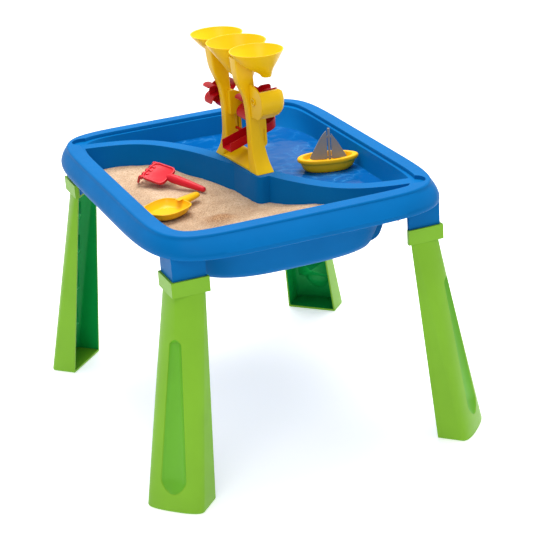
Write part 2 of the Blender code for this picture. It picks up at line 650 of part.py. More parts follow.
def make_hood():
    """The cowl over the near wheel: a plate on the upright, a curved cover and a rounded end wall."""
    x0, x1 = -0.0105, 0.0440
    cx, cy, cz = NEAR_WHEEL["at"]
    outer_r, inner_r = 0.0360, 0.0330

    def shell_outline(radius, back):
        arc = [math.radians(180 + 48 - 78 * i / 12) for i in range(13)]
        points = [(cy + radius * math.cos(a), cz + radius * math.sin(a)) for a in arc]
        return [(back, points[0][1])] + points + [(back, points[-1][1])]

    back = -POST_Y[1] - GAP
    outline = shell_outline(outer_r, back)
    hood = prism("wheel_hood", outline, "X", x0, x1, "tower_yellow")
    bevel = hood.modifiers.new("round_end", "BEVEL")
    bevel.width = 0.004
    bevel.segments = 2
    bevel.limit_method = "ANGLE"
    bevel.angle_limit = math.radians(60)
    boolean(hood, prism("hood_space", circle(inner_r, 32, (cy, cz)), "X", x0 + 0.003, x1 - 0.003))
    boolean(hood, box("hood_back", (x0 + 0.0030, -0.0740, 0.60), (x1 + 0.01, -0.04, 0.74)))
    ring = prism("hood_boss", circle(0.0075, 24, (cy, cz)), "X", x0 - 0.0030, x0 + 0.001)
    boolean(hood, ring, "UNION")
    boolean(hood, prism("hood_pin_hole", circle(AXLE_R + GAP, 20, (cy, cz)), "X", x0 - 0.02, x1 - 0.0015))
    smooth(hood, 30)
    return hood


# ---- chute ----

def make_chute():
    """An open channel with a round catch cup at its high end, hung on two side pins."""
    run = Vector((CHUTE_HIGH[0] - CHUTE_LOW[0], CHUTE_HIGH[1] - CHUTE_LOW[1]))
    slope = run.y / run.x

    def channel(name, grow, floor, top):
        half = CHUTE_HALF + grow
        outline = [(CHUTE_LOW[0] + (-0.004 if grow < 0 else 0.0), -half)]
        centre = CHUTE_HIGH[0] - CHUTE_HALF
        outline += [(centre + half * math.cos(a), half * math.sin(a))
                    for a in (math.radians(-90 + 15 * i) for i in range(13))]
        outline.append((outline[0][0], half))
        rings = [[(x, y, CHUTE_LOW[1] + slope * (x - CHUTE_LOW[0]) + lift) for x, y in outline]
                 for lift in (floor, top)]
        return loft(name, rings)

    chute = channel("chute", 0.0, 0.0, CHUTE_SIDE)
    chute.hide_render = False
    chute.display_type = "TEXTURED"
    chute.data.materials.append(material("wheel_red"))
    boolean(chute, channel("chute_bed", -CHUTE_WALL, CHUTE_WALL, CHUTE_SIDE + 0.01))
    for side in (-1, 1):
        ends = sorted((side * (CHUTE_HALF - 0.001), side * 0.0540))
        boolean(chute, prism("chute_pin", circle(CHUTE_PIN_R, 16, CHUTE_PIN_AT), "Y", *ends), "UNION")
    smooth(chute, 30)
    return chute


# ---- toys ----
def make_rake():
    """A toy rake lying on the sand on one edge: fat tapered handle, square head and teeth that bend down."""
    handle_rings = []
    for t, r in ((0.0, 0.0038), (0.005, 0.0056), (0.030, 0.0074), (0.075, 0.0094), (0.100, 0.0070)):
        handle_rings.append([(t, r * math.cos(a), r * math.sin(a)) for a in (math.tau * i / 14 for i in range(14))])
    rake = loft("rake", handle_rings, "rake_red")
    outline = [(0.094, -0.0120), (0.098, -0.0220), (0.106, -0.0265), (0.150, -0.0265), (0.150, 0.0265), (0.106, 0.0265),
               (0.098, 0.0220), (0.094, 0.0120)]
    plate = prism("rake_plate", outline, "Z", -0.0015, 0.0030)
    place([plate], rake)
    boolean(rake, plate, "UNION")
    for i in range(5):
        y = -0.0235 + i * 0.01175
        side = [(0.147, -0.0015), (0.150, 0.0030), (0.158, 0.0005), (0.1670, -0.0205), (0.1630, -0.0205),
                (0.1550, -0.0030)]
        tooth = prism(f"rake_tooth_{i}", side, "Y", y - 0.0024, y + 0.0024)
        place([tooth], rake)
        boolean(rake, tooth, "UNION")
    rake.location = (*RAKE_AT, SAND_LEVEL + GAP + RAKE_LIFT)
    rake.rotation_euler = RAKE_TURN
    smooth(rake)
    return rake


def make_shovel():
    """A toy shovel: a wide dished scoop and a short flattened handle."""
    rest = SAND_LEVEL + GAP
    handle = [[(t, r * 1.5 * math.cos(a), rest + z + r * math.sin(a)) for a in (math.tau * i / 14 for i in range(14))]
              for t, r, z in ((0.0, 0.0034, 0.0115), (0.006, 0.0058, 0.0115), (0.035, 0.0072, 0.0120),
                              (0.062, 0.0084, 0.0120))]
    shovel = loft("shovel", handle, "toy_yellow")
    outline = [(0.052, -0.016), (0.062, -0.034), (0.080, -0.0425), (0.118, -0.0415), (0.136, -0.030), (0.148, 0.0),
               (0.136, 0.030), (0.118, 0.0415), (0.080, 0.0425), (0.062, 0.034), (0.052, 0.016)]
    centre = Vector((0.098, 0.0))

    def dish(name, scale_low, scale_high, low, high):
        rings = []
        for scale, z in ((scale_low, low), (scale_high, high)):
            rings.append([(*(centre + (Vector(p) - centre) * scale), z) for p in outline])
        scoop = loft(name, rings)
        place([scoop], shovel)
        return scoop

    boolean(shovel, dish("scoop", 0.80, 1.0, rest, rest + 0.0170), "UNION")
    boolean(shovel, dish("scoop_hollow", 0.72, 0.960, rest + 0.0025, rest + 0.0175))
    shovel.location = (*SHOVEL_AT, 0.0)
    shovel.rotation_euler = (0.0, 0.0, SHOVEL_TURN)
    smooth(shovel)
    return shovel


def hull_ring(scale, z):
    """A pointed-oval deck outline with its bow towards local +X."""
    ring = []
    for i in range(28):
        a = math.tau * i / 28
        c, s = math.cos(a), math.sin(a)
        length = BOAT_LONG if c > 0 else BOAT_LONG * 0.94
        width = BOAT_BEAM * (1.0 - 0.22 * max(0.0, c) ** 2)
        ring.append((length * scale * math.copysign(abs(c) ** 0.86, c), width * scale * s, z))
    return ring


def make_boat():
    """Hull with an open cockpit and a rubbing rail, a mast pin and a two-part sail."""
    rest = WATER_LEVEL + GAP
    hull = loft("boat_hull", [hull_ring(0.74, rest), hull_ring(0.84, rest + 0.008), hull_ring(0.90, rest + 0.020),
                              hull_ring(0.91, rest + 0.0205), hull_ring(1.00, rest + 0.0215),
                              hull_ring(1.00, rest + 0.0270), hull_ring(0.97, rest + 0.0290)], "toy_yellow")
    well = loft("boat_well", [hull_ring(0.60, rest + 0.0080), hull_ring(0.80, rest + 0.0350)])
    mast_step = prism("mast_step", circle(0.0065, 20, (0.006, 0.0)), "Z", rest + 0.0060, rest + 0.0200)
    mast_hole = prism("mast_hole", circle(0.0026 + GAP, 16, (0.006, 0.0)), "Z", rest + 0.0080, rest + 0.0300)
    place([well, mast_step, mast_hole], hull)
    boolean(hull, well)
    boolean(hull, mast_step, "UNION")
    boolean(hull, mast_hole)
    foot = rest + 0.0215
    sail_back = [(-0.036, foot + 0.004), (-0.030, foot + 0.001), (0.0015, foot), (0.0015, foot + 0.062),
                 (-0.012, foot + 0.045), (-0.026, foot + 0.022)]
    sail = prism("boat_sail", sail_back, "Y", -0.0013, 0.0013, "sail_grey")
    jib = [(0.0105, foot), (0.042, foot + 0.002), (0.034, foot + 0.016), (0.022, foot + 0.038), (0.0105, foot + 0.055)]
    jib_piece = prism("boat_jib", jib, "Y", -0.0013, 0.0013)
    mast = prism("boat_mast", circle(0.0026, 16, (0.006, 0.0)), "Z", rest + 0.0085, foot + 0.066)
    webs = [box(f"sail_web_{i}", (0.0, -0.0011, foot + z), (0.0120, 0.0011, foot + z + 0.004)) for i, z in
            enumerate((0.002, 0.046))]
    place([jib_piece, mast, *webs], sail)
    for piece in (mast, jib_piece, *webs):
        boolean(sail, piece, "UNION")
    for obj in (hull, sail):
        obj.location = (*BOAT_AT, 0.0)
        obj.rotation_euler = (0.0, 0.0, BOAT_TURN)
        smooth(obj)
    return hull, sail


# ---- assembly ----
clear_scene()
make_tray()
for leg_name, (leg_x, leg_y) in zip(LEG_NAMES, CORNERS):
    make_leg(leg_name, leg_x, leg_y)
make_fillings()
make_plug()
tower_base = bpy.data.objects.new("tower", None)
bpy.context.scene.collection.objects.link(tower_base)
tower_base.location = (*TOWER_AT, 0.0)
tower_base.rotation_euler = (0.0, 0.0, TOWER_TURN)
before = set(bpy.data.objects)
make_tower_frame()
make_funnel_head()
make_hood()
make_chute()
make_wheels(tower_base)
for made in set(bpy.data.objects) - before:
    if made.parent is None:
        made.parent = tower_base
make_rake()
make_shovel()
make_boat()
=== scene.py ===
"""Looks of the sand and water table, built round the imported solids.

Metres, +Z up, origin on the floor under the tray's centre.
X runs across the narrow side and Y along the long side.
"""

import math

import bmesh
import bpy
from mathutils import Euler, Matrix, Vector, noise


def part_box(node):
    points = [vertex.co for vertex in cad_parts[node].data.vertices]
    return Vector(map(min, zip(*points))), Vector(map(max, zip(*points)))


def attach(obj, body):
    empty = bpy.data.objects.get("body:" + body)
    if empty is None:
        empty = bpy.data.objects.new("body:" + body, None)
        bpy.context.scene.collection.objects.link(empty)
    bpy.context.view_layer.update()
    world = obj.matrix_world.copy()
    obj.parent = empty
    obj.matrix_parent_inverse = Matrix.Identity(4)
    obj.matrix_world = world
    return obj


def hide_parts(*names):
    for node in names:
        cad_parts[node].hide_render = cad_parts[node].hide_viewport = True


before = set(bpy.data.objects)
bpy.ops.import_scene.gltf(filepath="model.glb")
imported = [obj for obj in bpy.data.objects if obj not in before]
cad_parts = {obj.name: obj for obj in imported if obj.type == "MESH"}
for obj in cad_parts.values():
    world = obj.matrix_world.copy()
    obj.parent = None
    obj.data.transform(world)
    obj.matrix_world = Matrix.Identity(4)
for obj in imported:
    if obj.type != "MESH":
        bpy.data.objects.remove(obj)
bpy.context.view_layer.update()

# ---- dimensions, the solids' own unless a note says otherwise ----
WALL = 0.0035
RIM_TOP = 0.532
RIM_BOTTOM = 0.491
SKIRT_FOOT = (0.3087, 0.3913, 5.6)
SKIRT_HEAD = (0.2917, 0.3632, 7.1)
RIM_INNER = (0.2596, 0.3324, 10.5)
RIM_ROUND = 0.005
RIM_STEPS = 6
SKIRT_LIP = 0.009
SKIRT_CROWN = 0.0012
NOTCH_R = 0.0225
NOTCH_AT = (0.2430, 0.3020)
LEDGE_TOP = 0.5245
LEDGE_WIDTH = 0.006
BASIN_FLOOR = 0.4010
BASIN_FOOT = (0.226, 0.300, 3.4)
BASIN_WAIST = (0.240, 0.314, 3.8)
BASIN_WAIST_Z = 0.466
DIVIDER_HALF = [(0.0, 0.0), (0.033, -0.100), (0.062, -0.162), (0.100, -0.220), (0.142, -0.256),
                (0.192, -0.276), (0.262, -0.290)]
DIVIDER_TOP = 0.0145
DIVIDER_FOOT = 0.026
FAR_SIDE = 0.6
CORNERS = {"front_left": (-1, -1), "front_right": (1, -1), "back_right": (1, 1), "back_left": (-1, 1)}
COLLAR_CORNER = (0.280, 0.348)
COLLAR_TOP = 0.447
COLLAR_BOTTOM = 0.417
COLLAR = (0.0, 0.0750, 0.0830)
BOSS = (0.0050, 0.0710, 0.0850)
BOSS_SEAT = (0.0045, 0.0715, 0.1300)
SOCKET = (0.0085, 0.0675, 0.0800)
SPIGOT = (0.0090, 0.0670, 0.0790)
SPIGOT_HOLLOW = (0.0120, 0.0640, 0.0750)
SOCKET_TOP = 0.480
SPIGOT_TOP = 0.457
FOOT_SPLAY = 0.0086
FOOT_PLATE = 0.005
FOOT_SECTION = {"mouth": -0.0076, "shoulder": 0.0410, "nose": 0.0594, "half": 0.0595, "square": 2.6}
HEAD_SECTION = {"mouth": -0.0530, "shoulder": -0.0470, "nose": -0.0115, "half": 0.0425, "square": 1.3}
# the grooves and ribs are a little fuller here than on the solids
GROOVE_Z = (0.034, 0.336)
GROOVE_HALF = (0.0300, 0.0125)
GROOVE_DEPTH = 0.0115
RIB_LEVELS = (0.095, 0.185, 0.275, 0.360)
RIB_RISE = 0.036
RIB_REACH = 0.62  # of the channel's depth
DRAIN_CORNER = math.radians(-38)
DRAIN_TURN = math.radians(-42)
DRAIN_Z = 0.441
SPOUT_R = 0.0110
SPOUT_REACH = 0.030
PLUG_R = 0.0075
PLUG_CAP_R = 0.0135
SAND_LEVEL = 0.474
WATER_LEVEL = 0.486
PILE_AT = (-0.107, -0.155)  # where the chute's sand has heaped up
PILE_TOP = 0.487
TOWER_AT = (0.012, 0.0)
TOWER_TURN = math.radians(5.0)
PLATFORM_HALF = (0.026, 0.108)
BASE_HALF = (0.019, 0.0945)
BASE_RISE = 0.022
POST_Y = (0.046, 0.066)
FUNNEL_RIM_Z = 0.7775
FUNNEL_WALL = 0.0022
FUNNEL_PITCH = 0.0875
# funnel stages are (height, shift towards +X, radius)
OUTER_FUNNEL = [(0.7775, 0.000, 0.0535), (0.7735, 0.000, 0.0515), (0.7520, 0.004, 0.0360),
                (0.7390, 0.0095, 0.0235), (0.7290, 0.0165, 0.0140), (0.7210, 0.0190, 0.0095)]
MIDDLE_FUNNEL = [(0.7775, 0.000, 0.0605), (0.7735, 0.000, 0.0585), (0.7320, 0.005, 0.0345),
                 (0.7120, 0.010, 0.0245), (0.6990, 0.018, 0.0130), (0.6900, 0.020, 0.0100)]
OUTER_LOAD_LEVEL = 0.7475
MIDDLE_LOAD_LEVEL = 0.7360
MIDDLE_LOAD_HEAP = 0.0075
AXLE_R = 0.0030
PIN_GAP = 0.0003
BORE_GAP = 0.00018
SAND_WHEEL = {"at": (0.034, 0.0, 0.641), "r": 0.0400, "half": 0.026, "turn_about": "X"}
FAR_WHEEL = {"at": (0.000, 0.090, 0.655), "r": 0.0360, "half": 0.019, "turn_about": "X"}
NEAR_WHEEL = {"at": (0.0225, -0.082, 0.673), "r": 0.0295, "half": 0.0155, "turn_about": "Y"}
HUB_R = 0.0085
HOOD_X = (-0.0105, 0.0465)
HOOD_R = 0.0352
BLADE = 0.0022
BLADES = 6
BLADE_SWEEP = 0.62  # radians
BLADE_STEPS = 14
CHEEK_Y = (0.0345, 0.0400)
CHUTE_LOW = (-0.038, 0.5575)
CHUTE_HIGH = (0.074, 0.5900)
CHUTE_HALF = 0.0195
CHUTE_WALL = 0.0022
CHUTE_SIDE = 0.0180
CHUTE_PIN_R = 0.0030
CHUTE_PIN_AT = (0.0100, 0.5850)
RAKE_AT = (-0.077, 0.003)
RAKE_LIFT = 0.0056
RAKE_TURN = (math.radians(-20), math.radians(-7.8), math.radians(121))
SHOVEL_AT = (-0.1024, -0.0253)
SHOVEL_TURN = math.radians(209.6)
BOAT_AT = (0.181, -0.034)
BOAT_TURN = math.radians(-16)
BOAT_LONG = 0.066
BOAT_BEAM = 0.033
MAST_AT = (0.006, 0.0)
MAST_R = 0.0026
SAIL_HALF = 0.0013

# ---- fineness of the visible meshes ----
OUTLINE_POINTS = 220
ROUND = 56
PIN_ROUND = 32
FILLET_STEPS = 8
LEG_LEVELS = 14

# ---- camera and light ----
CAMERA_AT = (-1.0771, -2.8727, 1.5701)
CAMERA_AZIMUTH, CAMERA_ELEVATION, CAMERA_ROLL = (math.radians(a) for a in (-21.31, 22.63, -4.06))
CAMERA_LENS_MM = 106.87
WORLD_LIGHT = 0.62
LIGHTS = {  # place, target, size, watts
    "key": ((-1.2, -1.6, 2.6), (0.0, 0.0, 0.4), 1.4, 18.0),
    "top": ((0.3, 0.6, 2.7), (0.0, 0.0, 0.5), 1.8, 82.0),
    "fill": ((2.6, -1.0, 1.5), (0.0, 0.0, 0.3), 1.6, 6.0),
}
FLOOR_R = 9.0
FLOOR_DROP = 0.0008
FLOOR_GLOW = 0.46  # lifts the floor to the photograph's white


def standing(at, turn):
    """The place of something upright at this (x, y), turned about Z."""
    return Matrix.Translation((*at, 0.0)) @ Matrix.Rotation(turn, 4, "Z")


TOWER = standing(TOWER_AT, TOWER_TURN)
IDENTITY = Matrix.Identity(4)


# ---- camera, light and floor ----
def link(obj):
    bpy.context.scene.collection.objects.link(obj)
    return obj


def make_camera():
    """A long lens on the front-left corner, a little above the rim and rolled slightly."""
    flat = math.cos(CAMERA_ELEVATION)
    back = Vector((math.sin(CAMERA_AZIMUTH) * flat, -math.cos(CAMERA_AZIMUTH) * flat,
                   math.sin(CAMERA_ELEVATION)))
    right = Vector((math.cos(CAMERA_AZIMUTH), math.sin(CAMERA_AZIMUTH), 0.0))
    up = back.cross(right)
    across = right * math.cos(CAMERA_ROLL) + up * math.sin(CAMERA_ROLL)
    upward = up * math.cos(CAMERA_ROLL) - right * math.sin(CAMERA_ROLL)
    data = bpy.data.cameras.new("camera")
    data.sensor_width = 36.0
    data.lens = CAMERA_LENS_MM
    camera = link(bpy.data.objects.new("camera", data))
    turn = Matrix((across, upward, back)).transposed()
    camera.matrix_world = Matrix.Translation(CAMERA_AT) @ turn.to_4x4()
    bpy.context.scene.camera = camera


def area_light(name, place, target, size, watts):
    data = bpy.data.lights.new(name, "AREA")
    data.shape = "RECTANGLE"
    data.size = data.size_y = size
    data.energy = watts
    light = link(bpy.data.objects.new(name, data))
    light.location = place
    light.rotation_euler = (Vector(place) - Vector(target)).to_track_quat("Z", "Y").to_euler()


def make_floor():
    bm = bmesh.new()
    bmesh.ops.create_circle(bm, cap_ends=True, radius=FLOOR_R, segments=96)
    mesh = bpy.data.meshes.new("floor")
    bm.to_mesh(mesh)
    bm.free()
    floor = link(bpy.data.objects.new("floor", mesh))
    floor.location.z = -FLOOR_DROP
    paint, _, shader = new_material("floor_white")
    feed(shader, {"Base Color": (0.90, 0.90, 0.90, 1.0), "Emission Color": (1.0, 1.0, 1.0, 1.0),
                  "Emission Strength": FLOOR_GLOW, "Roughness": 0.9, "Specular IOR Level": 0.1})
    mesh.materials.append(paint)


def make_studio():
    scene = bpy.context.scene
    scene.view_settings.view_transform = "Standard"
    scene.world = bpy.data.worlds.new("studio")
    scene.world.use_nodes = True
    sky = scene.world.node_tree.nodes["Background"]
    feed(sky, {"Color": (1.0, 1.0, 1.0, 1.0), "Strength": WORLD_LIGHT})
    for name, light in LIGHTS.items():
        area_light(name, *light)
    make_floor()


# ---- materials ----
def feed(node, values):
    """Sets each named input, or links it where the value is another node's output."""
    for name, value in values.items():
        if isinstance(value, bpy.types.NodeSocket):
            node.id_data.links.new(value, node.inputs[name])
        else:
            node.inputs[name].default_value = value


def new_material(name):
    mat = bpy.data.materials.new(name)
    mat.use_nodes = True
    return mat, mat.node_tree, mat.node_tree.nodes["Principled BSDF"]


def add_node(tree, kind, values):
    node = tree.nodes.new("ShaderNode" + kind)
    feed(node, values)
    return node


def place_of(tree):
    """Where a point is, in metres in its object's coordinates."""
    return tree.nodes.new("ShaderNodeTexCoord").outputs["Object"]


def noise_of(tree, scale, detail=4.0, roughness=0.55):
    return add_node(tree, "TexNoise", {"Vector": place_of(tree), "Scale": scale, "Detail": detail,
                                       "Roughness": roughness}).outputs["Fac"]


def ramp(tree, source, stops):
    node = add_node(tree, "ValToRGB", {"Fac": source})
    elements = node.color_ramp.elements
    while len(elements) < len(stops):
        elements.new(0.5)
    for element, (position, colour) in zip(elements, stops):
        element.position = position
        element.color = (*colour, 1.0)
    return node.outputs["Color"]


def mix_of(tree, data_type, factor, a, b, blend="MIX"):
    node = tree.nodes.new("ShaderNodeMix")
    node.data_type = data_type
    node.blend_type = blend
    feed(node, {"Factor": factor, "A": a, "B": b})
    return node.outputs["Result"]


def bumped(tree, shader, height, strength, distance):
    """Raises the surface by a texture."""
    bump = add_node(tree, "Bump", {"Height": height, "Strength": strength, "Distance": distance})
    feed(shader, {"Normal": bump.outputs["Normal"]})
    return bump


def tint(colour, factor):
    return tuple(min(1.0, c * factor) for c in colour)


def plastic(name, colour, roughness, specular=0.22):
    """Moulded plastic: a slight cloudiness of tone, orange-peel relief, uneven gloss and softened edges."""
    mat, tree, shader = new_material(name)
    tone = ramp(tree, noise_of(tree, 9.0, 3.0), [(0.30, tint(colour, 0.94)), (0.70, tint(colour, 1.05))])
    gloss = add_node(tree, "MapRange", {"Value": noise_of(tree, 55.0, 6.0, 0.7),
                                        "To Min": max(0.05, roughness - 0.07), "To Max": roughness + 0.09})
    feed(shader, {"Base Color": tone, "Roughness": gloss.outputs["Result"], "IOR": 1.49,
                  "Specular IOR Level": specular})
    bump = bumped(tree, shader, noise_of(tree, 900.0, 2.0), 0.35, 0.00006)
    bevel = add_node(tree, "Bevel", {"Radius": 0.0009})
    bevel.samples = 4
    feed(bump, {"Normal": bevel.outputs["Normal"]})
    return mat


def steel():
    mat, tree, shader = new_material("steel_wire")
    tone = ramp(tree, noise_of(tree, 400.0, 3.0), [(0.3, (0.50, 0.50, 0.52)), (0.7, (0.68, 0.68, 0.70))])
    feed(shader, {"Base Color": tone, "Metallic": 1.0, "Roughness": 0.30})
    return mat


def fresh_pile(tree):
    """High on the fresh pile and 0 away from it, with a ragged edge."""
    away = tree.nodes.new("ShaderNodeVectorMath")
    away.operation = "DISTANCE"
    away.inputs[1].default_value = (*PILE_AT, PILE_TOP)
    feed(away, {"Vector": place_of(tree)})
    spread = tree.nodes.new("ShaderNodeMath")
    spread.operation = "MULTIPLY_ADD"
    spread.inputs[1].default_value = 0.030
    tree.links.new(noise_of(tree, 90.0, 4.0, 0.7), spread.inputs[0])
    tree.links.new(away.outputs["Value"], spread.inputs[2])
    return add_node(tree, "MapRange", {"Value": spread.outputs["Value"], "From Min": 0.030, "From Max": 0.062,
                                       "To Min": 0.85, "To Max": 0.0}).outputs["Result"]


def sand_material():
    """Loose play sand: pale beige with browner grains, darker where a fresh pile is coarser."""
    mat, tree, shader = new_material("play_sand_grains")
    base = ramp(tree, noise_of(tree, 14.0), [(0.30, (0.46, 0.32, 0.215)), (0.52, (0.57, 0.42, 0.29)),
                                             (0.72, (0.68, 0.53, 0.39))])
    grains = add_node(tree, "TexVoronoi", {"Vector": place_of(tree), "Scale": 620.0})
    split = add_node(tree, "SeparateColor", {"Color": grains.outputs["Color"]})
    speck = ramp(tree, split.outputs["Red"], [(0.0, (0.33, 0.17, 0.08)), (0.16, (0.72, 0.55, 0.38)),
                                              (0.75, (1.0, 0.98, 0.95)), (1.0, (1.25, 1.2, 1.1))])
    coarse = ramp(tree, split.outputs["Green"], [(0.0, (0.34, 0.20, 0.11)), (0.5, (0.66, 0.46, 0.30)),
                                                 (1.0, (1.0, 0.86, 0.68))])
    specked = mix_of(tree, "RGBA", 0.62, base, speck, "MULTIPLY")
    darkened = mix_of(tree, "RGBA", fresh_pile(tree), specked, coarse, "MULTIPLY")
    feed(shader, {"Base Color": darkened, "Roughness": 0.92, "Specular IOR Level": 0.25})
    bumped(tree, shader, noise_of(tree, 480.0, 5.0, 0.75), 0.75, 0.0011)
    return mat


def water_material():
    """Clear shallow water over blue plastic: deep blue, webbed with paler light, and glossy."""
    mat, tree, shader = new_material("basin_water")
    deep = (0.001, 0.088, 0.310)
    warp = add_node(tree, "TexNoise", {"Vector": place_of(tree), "Scale": 11.0, "Detail": 3.0,
                                       "Roughness": 0.55})
    bent = mix_of(tree, "VECTOR", 0.10, place_of(tree), warp.outputs["Color"])
    web = tree.nodes.new("ShaderNodeTexVoronoi")
    web.feature = "DISTANCE_TO_EDGE"
    feed(web, {"Vector": bent, "Scale": 34.0})
    bands = ramp(tree, web.outputs["Distance"], [(0.0, (0.055, 0.26, 0.56)), (0.05, (0.004, 0.135, 0.400)),
                                                 (0.30, deep)])
    veil = add_node(tree, "MapRange", {"Value": noise_of(tree, 16.0, 3.0), "From Min": 0.45, "From Max": 0.75,
                                       "To Max": 0.85})
    colour = mix_of(tree, "RGBA", veil.outputs["Result"], (*deep, 1.0), bands)
    feed(shader, {"Base Color": colour, "Roughness": 0.10, "IOR": 1.33, "Specular IOR Level": 0.22})
    bumped(tree, shader, noise_of(tree, 42.0, 3.0), 0.4, 0.0016)
    return mat


def funnel_water_material():
    """A little clear water over yellow plastic: grey-green, mottled and glossy."""
    mat, tree, shader = new_material("funnel_water_clear")
    mottle = noise_of(tree, 130.0, 4.0, 0.6)
    tone = ramp(tree, mottle, [(0.34, (0.23, 0.34, 0.34)), (0.50, (0.40, 0.47, 0.40)),
                               (0.66, (0.66, 0.68, 0.55))])
    feed(shader, {"Base Color": tone, "Roughness": 0.08, "IOR": 1.33})
    return mat


# ---- mesh tools ----
helpers = []


def add(name, bm):
    """Turns a bmesh into a helper object; bake() makes the shown pieces."""
    bmesh.ops.recalc_face_normals(bm, faces=bm.faces)
    mesh = bpy.data.meshes.new(name)
    bm.to_mesh(mesh)
    bm.free()
    obj = bpy.data.objects.new(name, mesh)
    helpers.append(link(obj))
    return obj


def loft(name, rings, twisted=False):
    """A closed skin over rings of equal length; twisted makes triangles, for sides that aren't flat."""
    bm = bmesh.new()
    layers = [[bm.verts.new(point) for point in ring] for ring in rings]
    for low, high in zip(layers, layers[1:]):
        for i in range(len(low)):
            j = (i + 1) % len(low)
            if twisted:
                bm.faces.new((low[i], low[j], high[j]))
                bm.faces.new((low[i], high[j], high[i]))
            else:
                bm.faces.new((low[i], low[j], high[j], high[i]))
    bm.faces.new(layers[0][::-1])
    bm.faces.new(layers[-1])
    return add(name, bm)


def box(name, low, high):
    corners = [(low[0], low[1]), (high[0], low[1]), (high[0], high[1]), (low[0], high[1])]
    return loft(name, [[(x, y, z) for x, y in corners] for z in (low[2], high[2])])


def prism(name, outline, axis, low, high):
    """An outline in the plane across this axis, drawn out along it."""
    place = {"X": lambda u, v, h: (h, u, v), "Y": lambda u, v, h: (u, h, v), "Z": lambda u, v, h: (u, v, h)}
    return loft(name, [[place[axis](*p, h) for p in outline] for h in (low, high)])


def circle(radius, count=ROUND, centre=(0.0, 0.0)):
    return [(centre[0] + radius * math.cos(a), centre[1] + radius * math.sin(a))
            for a in (math.tau * i / count for i in range(count))]


def rod(name, radius, centre, axis, low, high, count=PIN_ROUND):
    return prism(name, circle(radius, count, centre), axis, low, high)


def on_side(side, near, far):
    """A span of y on this side of the middle, lower end first."""
    return sorted((side * near, side * far))


def combine(obj, other, operation):
    modifier = obj.modifiers.new(operation.lower(), "BOOLEAN")
    modifier.operation = operation
    modifier.solver = "MANIFOLD"
    modifier.object = other


def cut(obj, other):
    combine(obj, other, "DIFFERENCE")


def join(obj, other):
    combine(obj, other, "UNION")


def keep(obj, other):
    """Keeps only what lies inside the other."""
    combine(obj, other, "INTERSECT")


def superellipse(half_x, half_y, power, z, count=OUTLINE_POINTS):
    ring = []
    for i in range(count):
        a = math.tau * (i + 0.5) / count
        c, s = math.cos(a), math.sin(a)
        reach = (abs(c) ** power + abs(s) ** power) ** (-1.0 / power)
        ring.append((half_x * reach * c, half_y * reach * s, z))
    return ring


def spline(points, per_span):
    """A Catmull-Rom curve through the points."""
    guide = [2 * Vector(points[0]) - Vector(points[1])] + [Vector(p) for p in points]
    guide.append(2 * Vector(points[-1]) - Vector(points[-2]))
    line = []
    for i in range(1, len(guide) - 2):
        p0, p1, p2, p3 = guide[i - 1:i + 3]
        for k in range(per_span):
            t = k / per_span
            line.append(0.5 * (2 * p1 + (p2 - p0) * t + (2 * p0 - 5 * p1 + 4 * p2 - p3) * t**2
                               + (3 * p1 - p0 - 3 * p2 + p3) * t**3))
    line.append(guide[-2].copy())
    return line


def smooth_stations(stations, per_span=5):
    return [tuple(p) for p in spline([Vector(s) for s in stations], per_span)]


def rounded(outline, radius, steps=5):
    """A polygon with its corners rounded off."""
    result = []
    count = len(outline)
    for i, corner in enumerate(outline):
        here = Vector(corner)
        before, after = Vector(outline[i - 1]), Vector(outline[(i + 1) % count])
        cut = min(radius, (before - here).length * 0.45, (after - here).length * 0.45)
        a, b = here + (before - here).normalized() * cut, here + (after - here).normalized() * cut
        for k in range(steps + 1):
            t = k / steps
            result.append(tuple(a * (1 - t) ** 2 + here * 2 * t * (1 - t) + b * t * t))
    return result


def bake(obj, name, body, nodes, mat, matrix=IDENTITY, angle=32.0):
    bpy.context.view_layer.update()
    graph = bpy.context.evaluated_depsgraph_get()
    mesh = bpy.data.meshes.new_from_object(obj.evaluated_get(graph))
    mesh.transform(matrix @ obj.matrix_world)
    bm = bmesh.new()
    bm.from_mesh(mesh)
    bmesh.ops.remove_doubles(bm, verts=bm.verts, dist=2e-6)
    bmesh.ops.dissolve_degenerate(bm, edges=bm.edges, dist=1e-6)
    bm.to_mesh(mesh)
    bm.free()
    mesh.materials.clear()
    mesh.materials.append(mat)
    piece = link(bpy.data.objects.new(name, mesh))
    mesh.shade_smooth()
    mesh.set_sharp_from_angle(angle=math.radians(angle))
    for helper in helpers:
        bpy.data.objects.remove(helper, do_unlink=True)
    helpers.clear()
    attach(piece, body)
    if nodes:
        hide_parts(*nodes)
    return piece


# ---- tray ----
def divider_side(name, side, grow, low, high):
    """All that lies on this side of the S-shaped divider, whose faces spread towards the floor."""
    line = spline([(-x, -y) for x, y in DIVIDER_HALF[:0:-1]] + DIVIDER_HALF, 9)
    rings = []
    slope = (DIVIDER_FOOT - DIVIDER_TOP) / (LEDGE_TOP - BASIN_FLOOR)
    for i, point in enumerate(line):
        along = (line[min(i + 1, len(line) - 1)] - line[max(i - 1, 0)]).normalized()
        across = Vector((-along.y, along.x)) * side
        ring = []
        for z, far in ((low, False), (high, False), (high, True), (low, True)):
            foot = point + across * (DIVIDER_TOP + slope * (LEDGE_TOP - z) + grow)
            if far:
                foot = foot + Vector((side * FAR_SIDE, side * FAR_SIDE * 0.4))
            ring.append((foot.x, foot.y, z))
        rings.append(ring)
    return loft(name, rings, twisted=True)


def basin_section(z):
    stages = [(BASIN_FLOOR, BASIN_FOOT), (BASIN_WAIST_Z, BASIN_WAIST),
              (LEDGE_TOP, (RIM_INNER[0] - LEDGE_WIDTH, RIM_INNER[1] - LEDGE_WIDTH, 9.0))]
    below, above = (stages[0], stages[1]) if z < BASIN_WAIST_Z else (stages[1], stages[2])
    t = (z - below[0]) / (above[0] - below[0])
    return [p + (q - p) * t for p, q in zip(below[1], above[1])]


